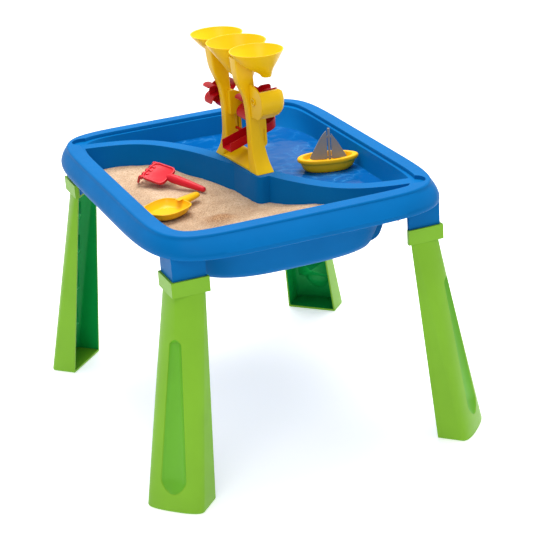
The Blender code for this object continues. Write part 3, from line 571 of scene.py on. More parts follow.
def basin_loft(name, grow, low, high, fillet=0.020):
    """Both basins' outline, with a rounded edge where the walls meet the floor."""
    rings = []
    for i in range(FILLET_STEPS + 1):
        t = 1.0 - math.cos(math.pi / 2 * i / FILLET_STEPS)
        drop = fillet * (1.0 - math.sqrt(max(0.0, 1.0 - (1.0 - t) ** 2)))
        a, b, n = basin_section(low + fillet * t)
        rings.append(superellipse(a + grow - drop, b + grow - drop, n, low + fillet * t))
    for z in (0.444, BASIN_WAIST_Z, 0.480, 0.492, 0.508, high):
        a, b, n = basin_section(z)
        rings.append(superellipse(a + grow, b + grow, n, z))
    return loft(name, rings, twisted=True)


def platform(name, grow, low, high):
    """The divider's bulge under the tower."""
    rings = []
    for z in (low, high):
        draft = 0.010 * (LEDGE_TOP - z) / (LEDGE_TOP - BASIN_FLOOR)
        ring = superellipse(PLATFORM_HALF[0] + draft + grow, PLATFORM_HALF[1] + draft + grow, 7.0, z, 96)
        rings.append([tuple(TOWER @ Vector(p)) for p in ring])
    return loft(name, rings)


def basin_space(name, side, grow, low, high):
    space = basin_loft(name, grow, low, high)
    keep(space, divider_side(name + "_side", side, -grow, low - 0.01, high + 0.01))
    cut(space, platform(name + "_platform", -grow, low - 0.01, high + 0.01))
    return space


def corner_block(name, sx, sy, shape, low, high):
    """A square block with a cut corner; shape is (inset, reach along a side, reach along both)."""
    inset, reach, total = shape
    step = max(total - reach, inset + 0.0005)
    reach = min(reach, total - step)
    outline = [(inset, inset), (reach, inset), (reach, step), (step, reach), (inset, reach)]
    corner = [(sx * (COLLAR_CORNER[0] - u), sy * (COLLAR_CORNER[1] - v)) for u, v in outline]
    return prism(name, corner, "Z", low, high)


def drain_rod(name, stations):
    """A turned bar along the drain: (distance from the inner wall, radius) stations."""
    a, b, n = basin_section(DRAIN_Z)
    c, s = math.cos(DRAIN_CORNER), math.sin(DRAIN_CORNER)
    reach = (abs(c) ** n + abs(s) ** n) ** (-1.0 / n)
    wall = Vector((a * reach * c, b * reach * s, DRAIN_Z))
    out = Vector((math.cos(DRAIN_TURN), math.sin(DRAIN_TURN), 0.0))
    aside = Vector((-out.y, out.x, 0.0))
    rings = []
    for distance, radius in stations:
        centre = wall + out * distance
        rings.append([tuple(centre + aside * u + Vector((0.0, 0.0, v))) for u, v in circle(radius)])
    return loft(name, rings)


def skirt_ring(t, offset, z):
    """The rim's outline, from its foot (t 0) to its head (t 1)."""
    a, b, n = (p + (q - p) * t for p, q in zip(SKIRT_FOOT, SKIRT_HEAD))
    return superellipse(a + offset, b + offset, n, z)


def make_tray(mat):
    span = RIM_TOP - RIM_ROUND - RIM_BOTTOM - SKIRT_LIP
    rings = [skirt_ring(0.0, offset, RIM_BOTTOM + rise) for offset, rise in (
        (-0.0032, 0.0), (-0.0016, 0.0004), (-0.0005, 0.0014), (0.0, 0.0030), (0.0, 0.0060), (0.0, SKIRT_LIP))]
    for i in range(1, RIM_STEPS + 1):
        t = i / RIM_STEPS
        rings.append(skirt_ring(t, SKIRT_CROWN * math.sin(math.pi * t), RIM_BOTTOM + SKIRT_LIP + span * t))
    for i in range(1, RIM_STEPS + 1):
        a = math.pi / 2 * i / RIM_STEPS
        z = RIM_TOP - RIM_ROUND * (1.0 - math.sin(a))
        rings.append(skirt_ring(1.0, -0.0048 * (1.0 - math.cos(a)), z))
    tray = loft("tray_solid", rings)
    cut(tray, loft("under", [skirt_ring(0.0, -0.014, RIM_BOTTOM - 0.01),
                             skirt_ring(0.0, -0.010, RIM_BOTTOM + SKIRT_LIP),
                             skirt_ring(1.0, -0.006, LEDGE_TOP - WALL)]))
    for side, name in ((-1, "sand"), (1, "water")):
        join(tray, basin_space(name + "_shell", side, WALL, BASIN_FLOOR - WALL, LEDGE_TOP - 0.001))
    for sx, sy in CORNERS.values():
        boss = corner_block("boss", sx, sy, BOSS, COLLAR_BOTTOM + 0.005, LEDGE_TOP - 0.001)
        keep(boss, loft("boss_limit", [skirt_ring(0.0, 0.0015, COLLAR_BOTTOM - 0.01),
                                       skirt_ring(0.0, 0.0015, RIM_BOTTOM + 0.004),
                                       skirt_ring(1.0, -0.004, LEDGE_TOP + 0.01)]))
        join(tray, boss)
    join(tray, drain_rod("spout", [(-0.012, SPOUT_R), (SPOUT_REACH - 0.001, SPOUT_R),
                                   (SPOUT_REACH, SPOUT_R - 0.001)]))
    for side, name in ((-1, "sand"), (1, "water")):
        cut(tray, basin_space(name + "_space", side, 0.0, BASIN_FLOOR, LEDGE_TOP + 0.02))
    seat_x, seat_y, power = RIM_INNER
    cut(tray, loft("lid_seat", [superellipse(seat_x, seat_y, power, LEDGE_TOP),
                                superellipse(seat_x, seat_y, power, RIM_TOP - 0.0012),
                                superellipse(seat_x + 0.0012, seat_y + 0.0012, power, RIM_TOP + 0.001)]))
    for sign in (-1, 1):
        centre = (sign * NOTCH_AT[0], -sign * NOTCH_AT[1])
        cut(tray, rod("notch", NOTCH_R, centre, "Z", LEDGE_TOP, RIM_TOP + 0.01, ROUND))
    for sx, sy in CORNERS.values():
        cut(tray, corner_block("socket", sx, sy, SOCKET, COLLAR_BOTTOM, SOCKET_TOP))
    cut(tray, drain_rod("drain_hole", [(-0.02, PLUG_R + 0.0003), (SPOUT_REACH + 0.01, PLUG_R + 0.0003)]))
    bake(tray, "tray_moulding", "table", ["tray"], mat, angle=38)


def make_plug(mat):
    """A tapered peg, a cap that closes the spout, and a knob to pull."""
    peg = [(0.006, PLUG_R - 0.0008), (SPOUT_REACH + 0.0003, PLUG_R)]
    cap = [(0.0003, 0.0125), (0.0012, PLUG_CAP_R), (0.0034, PLUG_CAP_R), (0.0048, PLUG_CAP_R - 0.0016)]
    knob = [(0.0050, 0.0062), (0.0068, 0.0052), (0.0100, 0.0052), (0.0116, 0.0042), (0.0120, 0.0025)]
    plug = drain_rod("plug", peg + [(SPOUT_REACH + distance, radius) for distance, radius in cap + knob])
    bake(plug, "drain_stopper", "drain_plug", ["drain_plug"], mat)


# ---- legs ----
def leg_section(z):
    t = z / COLLAR_BOTTOM
    return {key: FOOT_SECTION[key] + (HEAD_SECTION[key] - FOOT_SECTION[key]) * t for key in FOOT_SECTION}


def leg_point(sx, sy, out, aside, z):
    """A point of a leg, from how far it is outwards along the table's diagonal and aside from that."""
    splay = FOOT_SPLAY * (1.0 - z / COLLAR_BOTTOM)
    half = math.sqrt(0.5)
    return (sx * (COLLAR_CORNER[0] + half * (out + aside) + splay),
            sy * (COLLAR_CORNER[1] + half * (out - aside) - splay), z)


def leg_ring(sx, sy, z, inset=0.0, mouth=0.0, arc=44):
    s = leg_section(z)
    half, nose = s["half"] - inset, s["nose"] - inset
    points = [(s["mouth"] - mouth, -half)]
    for i in range(arc + 1):
        a = math.pi * (i / arc - 0.5)
        c, d = abs(math.cos(a)), math.sin(a)
        points.append((s["shoulder"] + (nose - s["shoulder"]) * c ** (2 / s["square"]),
                       half * math.copysign(abs(d) ** (2 / s["square"]), d)))
    points.append((s["mouth"] - mouth, half))
    return [leg_point(sx, sy, out, aside, z) for out, aside in points]


def groove(name, sx, sy, grow):
    """The long teardrop: a round-bottomed channel that widens towards the foot."""
    rings = []
    steps = 44
    for i in range(steps + 1):
        t = 0.5 - 0.5 * math.cos(math.pi * i / steps)
        z = GROOVE_Z[0] - grow + (GROOVE_Z[1] - GROOVE_Z[0] + 2 * grow) * t
        end = min(1.0, math.sqrt(max(0.0, min((t + 0.002) / 0.085, (1.002 - t) / 0.035))))
        half = (GROOVE_HALF[0] + (GROOVE_HALF[1] - GROOVE_HALF[0]) * t + grow) * end
        nose = leg_section(z)["nose"]
        rings.append([leg_point(sx, sy, nose + 0.003 + (GROOVE_DEPTH + 0.003 + grow) * end * math.cos(a),
                                half * math.sin(a), z) for a in (math.tau * b / 40 for b in range(40))])
    return loft(name, rings)


def rib(name, sx, sy, z):
    rings = []
    depth = leg_section(z)["nose"] - leg_section(z)["mouth"] - WALL
    for reach, scale in ((0.002, 1.02), (-RIB_REACH * depth, 0.02)):
        ring = []
        for dz, aside in ((-1, -1), (-1, 1), (1, 1), (1, -1)):
            level = z + dz * RIB_RISE * scale
            s = leg_section(z)
            shift = leg_section(level)["nose"] - s["nose"]
            ring.append(leg_point(sx, sy, s["nose"] - WALL + reach + shift, aside * s["half"] * scale, level))
        rings.append(ring)
    return loft(name, rings)


def paint_leg_shade(mesh, sx, sy, inside_shade_mat, groove_shade_mat):
    """Gives the channel's inner faces and the groove's faces darker greens: painted shade, where the hollow
    and the groove lie in shadow.
    """
    mesh.materials.append(inside_shade_mat)
    mesh.materials.append(groove_shade_mat)
    out = Vector((sx, sy, 0.0)).normalized()
    aside = Vector((sx, -sy, 0.0)).normalized()
    for face in mesh.polygons:
        z = face.center.z
        if z > COLLAR_BOTTOM - 0.0015 or z < 0.001:
            continue
        section = leg_section(z)
        place = face.center - Vector(leg_point(sx, sy, 0.0, 0.0, z))
        facing_out = face.normal.dot(out)
        cheek = place.dot(aside) * face.normal.dot(aside) < 0.0 and abs(facing_out) < 0.15
        # faces inside the hollow take the darker green, painted shade of the channel's interior
        if place.dot(out) > section["mouth"] + 0.001 and (facing_out < -0.15 or cheek):
            face.material_index = 1
        # the groove's faces take a darker green, painted shade in the groove
        elif facing_out > 0.2 and abs(place.dot(aside)) < GROOVE_HALF[0]:
            side = abs(place.dot(aside)) / section["half"]
            bulge = max(0.0, 1.0 - side ** section["square"]) ** (1.0 / section["square"])
            skin = section["shoulder"] + (section["nose"] - section["shoulder"]) * bulge
            if place.dot(out) < skin - 0.0012:
                face.material_index = 2


def make_leg(corner, mat, inside_shade_mat, groove_shade_mat):
    sx, sy = CORNERS[corner]
    levels = [COLLAR_BOTTOM * i / LEG_LEVELS for i in range(1, LEG_LEVELS)]
    rounded_foot = [leg_ring(sx, sy, 0.0, 0.0020), leg_ring(sx, sy, 0.0008, 0.0007)]
    leg = loft("leg", rounded_foot + [leg_ring(sx, sy, z) for z in [0.0025, *levels, COLLAR_BOTTOM + 0.003]])
    inner = [FOOT_PLATE, *levels, COLLAR_BOTTOM - 0.002]
    hollow = loft("hollow", [leg_ring(sx, sy, z, WALL, 0.03) for z in inner])
    cut(hollow, groove("backing", sx, sy, WALL))
    for z in RIB_LEVELS:
        cut(hollow, rib("rib", sx, sy, z))
    cut(leg, hollow)
    cut(leg, groove("groove", sx, sy, 0.0))
    join(leg, corner_block("collar", sx, sy, COLLAR, COLLAR_BOTTOM, COLLAR_TOP))
    cut(leg, corner_block("seat", sx, sy, BOSS_SEAT, COLLAR_BOTTOM + 0.004, COLLAR_TOP + 0.01))
    join(leg, corner_block("spigot", sx, sy, SPIGOT, COLLAR_BOTTOM + 0.002, SPIGOT_TOP))
    cut(leg, corner_block("spigot_hollow", sx, sy, SPIGOT_HOLLOW, COLLAR_BOTTOM + 0.004, SPIGOT_TOP + 0.01))
    piece = bake(leg, "leg_moulding_" + corner, "table", ["leg_" + corner], mat)
    paint_leg_shade(piece.data, sx, sy, inside_shade_mat, groove_shade_mat)


# ---- fillings ----
def ease(t):
    t = min(1.0, max(0.0, t))
    return t * t * (3.0 - 2.0 * t)


def sand_height(x, y):
    """Low round the toys, banked up to the front and right, with dunes and one small fresh pile."""
    h = 0.4715 + 0.024 * ease((-0.100 - y) / 0.190) * ease((x + 0.190) / 0.160)
    h += 0.0085 * ease((y - 0.110) / 0.090) * (0.6 + 0.4 * math.sin(21.0 * x + 4.0))
    h += 0.0022 * noise.noise(Vector((x * 17.0, y * 13.0, 0.3)))
    h += 0.0012 * noise.noise(Vector((x * 45, y * 45, 2.0)))
    h += 0.0004 * noise.noise(Vector((x * 190, y * 190, 5.0)))
    away = math.hypot(x - PILE_AT[0], y - PILE_AT[1])
    h += 0.0085 * math.exp(-(away / 0.024) ** 2) - 0.0025 * math.exp(-((away - 0.052) / 0.014) ** 2)
    return h


def water_height(x, y):
    """Small chop, with rings spreading from where water drops off the wheel and from the boat."""
    h = WATER_LEVEL + 0.0010 * noise.noise(Vector((x * 26.0, y * 20.0, 1.0)))
    h += 0.0005 * noise.noise(Vector((x * 70.0, y * 60.0, 4.0)))
    for centre, strength, pitch in (((0.070, -0.078), 0.0014, 0.021), (BOAT_AT, 0.0006, 0.024)):
        away = math.hypot(x - centre[0], y - centre[1])
        h += strength * math.sin(math.tau * away / pitch) * math.exp(-away / 0.045)
    return h


def filling(name, side, height, node, mat, step):
    """A height field over one basin, cut to the basin's shape and hung down to its floor."""
    margin = 0.01
    low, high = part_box(node)
    nx = int((high.x - low.x + 2 * margin) / step)
    ny = int((high.y - low.y + 2 * margin) / step)
    bm = bmesh.new()
    tops, feet = [], []
    for i in range(nx + 1):
        x = low.x - margin + step * i
        row = [low.y - margin + step * j for j in range(ny + 1)]
        tops.append([bm.verts.new((x, y, height(x, y))) for y in row])
        feet.append([bm.verts.new((x, y, BASIN_FLOOR + 0.0006)) for y in row])
    for i in range(nx):
        for j in range(ny):
            bm.faces.new((tops[i][j], tops[i + 1][j], tops[i + 1][j + 1], tops[i][j + 1]))
            bm.faces.new((feet[i][j], feet[i][j + 1], feet[i + 1][j + 1], feet[i + 1][j]))
    for i in range(nx):
        bm.faces.new((tops[i][0], feet[i][0], feet[i + 1][0], tops[i + 1][0]))
        bm.faces.new((tops[i + 1][ny], feet[i + 1][ny], feet[i][ny], tops[i][ny]))
    for j in range(ny):
        bm.faces.new((tops[0][j + 1], feet[0][j + 1], feet[0][j], tops[0][j]))
        bm.faces.new((tops[nx][j], feet[nx][j], feet[nx][j + 1], tops[nx][j + 1]))
    field = add(name, bm)
    keep(field, basin_space(name + "_space", side, -0.0004, BASIN_FLOOR, LEDGE_TOP + 0.02))
    bake(field, name, "table", [node], mat, angle=60)


# ---- tower ----
def funnel(name, stages, y, grow):
    sides = ROUND * 2
    turns = [math.tau * (i + 0.5) / sides for i in range(sides)]
    return loft(name, [[(cx + (r + grow) * math.cos(a), y + (r + grow) * math.sin(a), z) for a in turns]
                       for z, cx, r in stages])


def softened(stages, per_span=4):
    """The funnel's stages joined by a smooth curve, its rim kept crisp."""
    return stages[:1] + smooth_stations(stages[1:], per_span)


def stretched(stages, up, down):
    """The stages with their ends moved past the funnel's own, to cut clean through."""
    top, bottom = stages[0], stages[-1]
    return [(top[0] + up, top[1], top[2] + up * 0.5), *stages[1:-1], (bottom[0] - down, bottom[1], bottom[2])]


def funnel_spaces():
    return [("near", softened(OUTER_FUNNEL), -FUNNEL_PITCH), ("middle", softened(MIDDLE_FUNNEL), 0.0),
            ("far", softened(OUTER_FUNNEL), FUNNEL_PITCH)]


def make_funnel_head(mat):
    spaces = funnel_spaces()
    head = funnel("head", spaces[1][1], spaces[1][2], 0.0)
    for name, stages, y in (spaces[0], spaces[2]):
        join(head, funnel(name + "_funnel", stages, y, 0.0))
    for i, (name, stages, y) in enumerate(spaces):
        cup = funnel(name + "_cup", stretched(stages, 0.004, 0.004), y, -FUNNEL_WALL)
        if i:
            nearer = spaces[i - 1]
            above = (FUNNEL_RIM_Z + 0.02, 0.0, nearer[1][0][2] + 0.010)
            cut(cup, funnel(name + "_wall", [above, *nearer[1]], nearer[2], 0.0))
        cut(head, cup)
    bake(head, "funnel_head_moulding", "tower", ["funnel_head"], mat, TOWER, angle=40)


def funnel_load(name, stages, y, level, heap, mat):
    """What stands in a funnel: a disc that fills it at this level, heaped in the middle where it is sand."""
    spans = zip(stages, stages[1:])
    (z0, x0, r0), (z1, x1, r1) = next((top, foot) for top, foot in spans if foot[0] <= level <= top[0])
    t = (level - z0) / (z1 - z0)
    cx = x0 + (x1 - x0) * t
    radius = r0 + (r1 - r0) * t - FUNNEL_WALL - 0.0004
    rings = []
    for share, drop in ((0.94, -0.0030), (1.0, 0.0), (0.8, 0.1), (0.55, 0.4), (0.3, 0.8), (0.08, 1.0)):
        z = level + (drop if drop < 0.0 else drop * heap)
        rings.append([(*point, z) for point in circle(radius * share, ROUND, (cx, y))])
    bake(loft("load", rings), name, "tower", [], mat, TOWER)


def post(name, side):
    """One upright, its stages joined by a smooth curve and its corners rounded."""
    inner, outer = POST_Y
    levels = [(LEDGE_TOP + 0.0003, -0.0200, 0.0190, outer - 0.0060, 0.0945),
              (0.545, -0.0168, 0.0172, inner + 0.004, 0.0800),
              (0.568, -0.0145, 0.0158, inner, 0.0705),
              (0.600, -0.0140, 0.0110, inner, outer),
              (0.640, -0.0145, 0.0062, inner, outer),
              (0.675, -0.0185, 0.0035, inner, outer),
              (0.705, -0.0300, 0.0020, inner - 0.002, outer),
              (0.725, -0.0350, 0.0000, inner - 0.004, outer + 0.002),
              (0.762, -0.0380, -0.0020, inner - 0.006, outer + 0.004)]
    rings = []
    soft = 0.0032
    for z, x0, x1, y0, y1 in smooth_stations(levels):
        ring = []
        for cx, cy, start in ((x1 - soft, y0 + soft, -90), (x1 - soft, y1 - soft, 0),
                              (x0 + soft, y1 - soft, 90), (x0 + soft, y0 + soft, 180)):
            for k in range(5):
                a = math.radians(start + 22.5 * k)
                ring.append((cx + soft * math.cos(a), side * (cy + soft * math.sin(a)), z))
        rings.append(ring)
    return loft(name, rings)


def make_tower_frame(mat):
    """A hollow base, two posts with a pocket and a cheek each, and the holes for pins, chute and funnels."""
    low = LEDGE_TOP + 0.0003
    half = BASE_HALF[0]
    profile = [(-half, low), (half - 0.002, low), (half - 0.002, low + BASE_RISE),
               (half - 0.007, low + BASE_RISE), (-half, low + 0.004)]
    base = prism("frame", profile, "Y", -0.0700, 0.0700)
    pocket = [(0.0, 0.566), (0.0190, 0.572), (0.0225, 0.578), (0.0225, 0.636), (0.0, 0.642)]
    pocket = rounded(pocket, 0.003, 3)
    cheek = [(-0.006, 0.618), (0.020, 0.618), (0.0430, 0.634), (0.0430, 0.648), (0.034, 0.6545),
             (0.004, 0.668), (-0.006, 0.668)]
    for side in (-1, 1):
        join(base, post("post", side))
        join(base, prism("pocket", pocket, "Y", *on_side(side, POST_Y[0] + 0.001, POST_Y[1] - 0.001)))
        inner, outer = on_side(side, POST_Y[0] - 0.01, POST_Y[1] - 0.0035)
        cut(base, box("pocket_recess", (0.0135, inner, 0.577), (0.0165, outer, 0.631)))
        inner, outer = on_side(side, POST_Y[1] - 0.0030, POST_Y[1] + 0.01)
        cut(base, box("slot", (0.0150, inner, 0.583), (0.0178, outer, 0.608)))
        join(base, prism("cheek", cheek, "Y", *on_side(side, CHEEK_Y[0], POST_Y[0] + 0.003)))
    hollow = [(-half + 0.010, low - 0.01), (half - 0.005, low - 0.01),
              (half - 0.005, low + BASE_RISE - 0.008), (-half + 0.010, low + 0.003)]
    cut(base, prism("base_hollow", hollow, "Y", -0.0420, 0.0420))
    for wheel, reach in ((SAND_WHEEL, (-0.060, 0.060)), (FAR_WHEEL, (0.0560, 0.080))):
        x, _, z = wheel["at"]
        cut(base, rod("pin_hole", AXLE_R + PIN_GAP, (x, z), "Y", *reach))
    for name, stages, y in funnel_spaces():
        cut(base, funnel(name + "_clear", stretched(stages, 0.02, 0.001), y, 0.0004))
    for side in (-1, 1):
        ends = on_side(side, 0.040, 0.055)
        cut(base, rod("chute_socket", CHUTE_PIN_R + PIN_GAP, CHUTE_PIN_AT, "Y", *ends, 24))
    bake(base, "tower_moulding", "tower", ["tower_frame"], mat, TOWER)


def on_axle(wheel):
    """The place of what sits on this wheel's axle, which turns a thing built round +Z onto it."""
    return TOWER @ Matrix.Translation(wheel["at"]) @ Matrix.Rotation(math.pi / 2, 4, wheel["turn_about"])


def make_wheel(name, wheel, node, mat):
    """A hub with curved paddles whose outer corners are rounded, and a disc between them."""
    radius, half = wheel["r"], wheel["half"]
    root = HUB_R * 0.6
    hub = loft("hub", [[(x, y, z) for x, y in circle(r, 40)] for z, r in (
        (-half, HUB_R - 0.001), (-half + 0.001, HUB_R), (half - 0.001, HUB_R), (half, HUB_R - 0.001))])
    for k in range(BLADES):
        rings = []
        for i in range(BLADE_STEPS + 1):
            t = i / BLADE_STEPS
            angle = math.tau * k / BLADES + BLADE_SWEEP * t * t
            point = Vector((math.cos(angle), math.sin(angle))) * (root + (radius - root) * t)
            across = Vector((-math.sin(angle + 0.5 * t), math.cos(angle + 0.5 * t))) * BLADE / 2
            corner = max(0.0, (t - 0.78) / 0.22)
            width = half - 0.001 - 0.006 * (1.0 - math.sqrt(max(0.0, 1.0 - corner * corner)))
            back, front = point - across, point + across
            rings.append([(*back, -width), (*front, -width), (*front, width), (*back, width)])
        join(hub, loft("blade", rings))
    join(hub, rod("disc", radius * 0.72, (0.0, 0.0), "Z", -BLADE / 2, BLADE / 2, ROUND))
    cut(hub, rod("bore", AXLE_R + BORE_GAP, (0.0, 0.0), "Z", -half - 0.01, half + 0.01))
    bake(hub, name, node, [node], mat, on_axle(wheel))


def make_pin(name, wheel, node, mat, stations):
    pin = loft("pin", [[(x, y, z) for x, y in circle(r, PIN_ROUND)] for z, r in stations])
    bake(pin, name, "tower", [node], mat, on_axle(wheel))


def make_pins(mat):
    r = AXLE_R - BORE_GAP

    def plain(low, high):
        return [(low, r - 0.0005), (low + 0.0005, r), (high - 0.0005, r), (high, r - 0.0005)]

    end = CHEEK_Y[1] + 0.006
    headed = [(-0.0240, 0.0040), (-0.0232, 0.0052), (-0.0222, 0.0055), (-0.0215, 0.0052), (-0.0215, r),
              (0.0325, r), (0.0330, r - 0.0005)]
    make_pin("sand_wheel_wire", SAND_WHEEL, "sand_wheel_pin", mat, plain(-end, end))
    make_pin("near_wheel_wire", NEAR_WHEEL, "near_wheel_pin", mat, plain(-0.0300, 0.0195))
    make_pin("far_wheel_wire", FAR_WHEEL, "far_wheel_pin", mat, headed)


def make_hood(mat):
    """The cowl over the near wheel: a flat plate, a curved cover and a domed nose, open above and behind."""
    x0, x1 = HOOD_X
    inside = x0 + 0.0028
    _, cy, cz = NEAR_WHEEL["at"]
    back = -POST_Y[1] - 0.0003

    def ring(x, radius):
        arc = [math.radians(262 - 124 * i / 44) for i in range(45)]
        points = [(x, cy + radius * math.cos(a), cz + radius * math.sin(a)) for a in arc]
        return [(x, back, points[0][2])] + points + [(x, back, points[-1][2])]

    def stations(radius, start, end, nose):
        rings = [ring(start, radius - 0.0012), ring(start + 0.0012, radius)]
        for i in range(17):
            t = math.pi / 2 * i / 16
            narrow = 0.0120 + (radius - 0.0120) * math.cos(t) ** 0.8
            rings.append(ring(end - nose + nose * math.sin(t), narrow))
        return rings

    hood = loft("hood", stations(HOOD_R, x0, x1, 0.0190))
    cut(hood, loft("hood_space", stations(0.0330, inside, x1 - 0.0024, 0.0185)))
    cut(hood, rod("wheel_room", 0.0312, (cy, cz), "X", inside, x0 + 0.0450, ROUND))
    cut(hood, box("hood_back", (inside, -0.0740, 0.60), (x1 + 0.01, -0.04, 0.74)))
    cut(hood, box("hood_top", (inside, -0.0960, cz + 0.012), (x1 + 0.01, -0.04, 0.74)))
    plate = [(back - 0.0005, cz - 0.034), (cy - 0.018, cz - 0.034), (cy - 0.031, cz - 0.021),
             (cy - HOOD_R, cz + 0.002), (cy - 0.0300, cz + 0.0185), (cy - 0.012, cz + 0.0300),
             (back - 0.0005, cz + 0.0340)]
    join(hood, prism("plate", rounded(plate, 0.008, 5), "X", x0, x0 + 0.0027))
    lip = [(cy - 0.0300, cz - 0.0200), (cy - 0.0150, cz - 0.0335), (back - 0.0005, cz - 0.0365),
           (back - 0.0005, cz - 0.0340), (cy - 0.0130, cz - 0.0312), (cy - 0.0280, cz - 0.0180)]
    join(hood, prism("lip", lip, "X", x0 + 0.001, x1 - 0.020))
    join(hood, rod("hood_boss", 0.0075, (cy, cz), "X", x0 - 0.0030, x0 + 0.001, ROUND))
    cut(hood, rod("hood_boss_dish", 0.0052, (cy, cz), "X", x0 - 0.0040, x0 - 0.0010, ROUND))
    cut(hood, rod("hood_pin_hole", AXLE_R + PIN_GAP, (cy, cz), "X", x0 - 0.02, x1 - 0.0100))
    bake(hood, "wheel_hood_moulding", "tower", ["wheel_hood"], mat, TOWER)


def make_chute(mat):
    run = Vector((CHUTE_HIGH[0] - CHUTE_LOW[0], CHUTE_HIGH[1] - CHUTE_LOW[1]))
    slope = run.y / run.x

    def channel(name, grow, floor, top):
        half = CHUTE_HALF + grow
        outline = [(CHUTE_LOW[0] + (-0.004 if grow < 0 else 0.0), -half)]
        centre = CHUTE_HIGH[0] - CHUTE_HALF
        outline += [(centre + half * math.cos(a), half * math.sin(a))
                    for a in (math.radians(-90 + 5 * i) for i in range(37))]
        outline.append((outline[0][0], half))
        soft = 0.0 if grow < 0 else 0.0010
        levels = [(floor, -soft), (floor + 0.0008, 0.0), (top, 0.0)]
        return loft(name, [[(x, y * (1.0 + shrink / half), CHUTE_LOW[1] + slope * (x - CHUTE_LOW[0]) + lift)
                            for x, y in outline] for lift, shrink in levels])

    chute = channel("chute_solid", 0.0, 0.0, CHUTE_SIDE)
    cut(chute, channel("chute_bed", -CHUTE_WALL, CHUTE_WALL, CHUTE_SIDE + 0.01))
    for side in (-1, 1):
        ends = on_side(side, CHUTE_HALF - 0.001, 0.0540)
        join(chute, rod("chute_pin", CHUTE_PIN_R, CHUTE_PIN_AT, "Y", *ends))
    bake(chute, "chute_moulding", "tower", ["chute"], mat, TOWER)


# ---- toys ----
def tube(name, stations, wide=1.0):
    """A handle along local +X from (distance, radius, height) stations, closed by small end caps."""
    return loft(name, [[(along, wide * u, height + v) for u, v in circle(radius, 36)]
                       for along, radius, height in smooth_stations(stations)])


def make_rake(mat):
    """A fat tapered handle, a square dished head, and teeth bent down past its far end."""
    rake = tube("rake_handle", [(along, radius, 0.0) for along, radius in (
        (0.0, 0.0016), (0.0015, 0.0036), (0.0055, 0.0056), (0.030, 0.0074), (0.060, 0.0089), (0.080, 0.0094),
        (0.092, 0.0085), (0.100, 0.0050))])
    outline = rounded([(0.094, -0.0265), (0.152, -0.0265), (0.152, 0.0265), (0.094, 0.0265)], 0.013, 8)
    join(rake, prism("rake_plate", outline, "Z", -0.0026, 0.0032))
    centre = Vector((0.1230, 0.0))

    def inset(amount, z):
        scale = 1.0 - amount / 0.0280
        return [(*(centre + (Vector(p) - centre) * scale), z) for p in outline]

    cut(rake, loft("rake_pan", [inset(0.0042, 0.0006), inset(0.0036, 0.0010), inset(0.0026, 0.0030),
                                inset(0.0020, 0.0040)]))
    for i in range(5):
        y = -0.0235 + i * 0.01175
        ridge = [(0.139, 0.0002), (0.1425, 0.0024), (0.148, 0.0028), (0.148, -0.0020), (0.139, -0.0020)]
        join(rake, prism("ridge", rounded(ridge, 0.0010, 3), "Y", y - 0.0021, y + 0.0021))
        side = [(0.146, -0.0024), (0.149, 0.0031), (0.158, 0.0006), (0.1672, -0.0200), (0.1645, -0.0207),
                (0.1628, -0.0200), (0.1550, -0.0034)]
        join(rake, prism("tooth", rounded(side, 0.0016, 3), "Y", y - 0.0024, y + 0.0024))
    rest = SAND_LEVEL + 0.0003 + RAKE_LIFT
    place = Matrix.Translation((*RAKE_AT, rest)) @ Euler(RAKE_TURN).to_matrix().to_4x4()
    bake(rake, "rake_moulding", "rake", ["rake"], mat, place)


def make_shovel(mat):
    """A wide dished scoop with a thick lip, and a flattened handle with a rounded end."""
    rest = SAND_LEVEL + 0.0003
    shovel = tube("shovel_handle", [(along, radius, rest + lift) for along, radius, lift in (
        (0.0004, 0.0015, 0.0115), (0.0025, 0.0042, 0.0116), (0.008, 0.0060, 0.0118), (0.030, 0.0072, 0.0120),
        (0.050, 0.0084, 0.0120), (0.066, 0.0092, 0.0108))], 1.5)
    right = [(0.052, -0.012), (0.060, -0.036), (0.080, -0.0430), (0.118, -0.0420), (0.139, -0.030)]
    left = [(x, -y) for x, y in reversed(right)]
    outline = rounded([*right, (0.1485, 0.0), *left], 0.016)
    centre = Vector((0.098, 0.0))

    def dish(name, levels):
        return loft(name, [[(*(centre + (Vector(p) - centre) * scale), rest + z) for p in outline]
                           for z, scale in levels])

    join(shovel, dish("scoop", [(0.0, 0.66), (0.0007, 0.73), (0.0025, 0.80), (0.006, 0.87), (0.0140, 0.955),
                                (0.0148, 0.992), (0.0156, 1.0), (0.0166, 1.0), (0.0172, 0.990)]))
    cut(shovel, dish("scoop_hollow", [(0.0025, 0.58), (0.0032, 0.68), (0.0055, 0.77), (0.0110, 0.865),
                                      (0.0150, 0.925), (0.0190, 0.950)]))
    bake(shovel, "shovel_moulding", "shovel", ["shovel"], mat, standing(SHOVEL_AT, SHOVEL_TURN))


def hull_ring(scale, z, count=96):
    ring = []
    for i in range(count):
        a = math.tau * i / count
        c, s = math.cos(a), math.sin(a)
        length = BOAT_LONG if c > 0 else BOAT_LONG * 0.94
        width = BOAT_BEAM * (1.0 - 0.22 * max(0.0, c) ** 2)
        ring.append((length * scale * math.copysign(abs(c) ** 0.86, c), width * scale * s, z))
    return ring


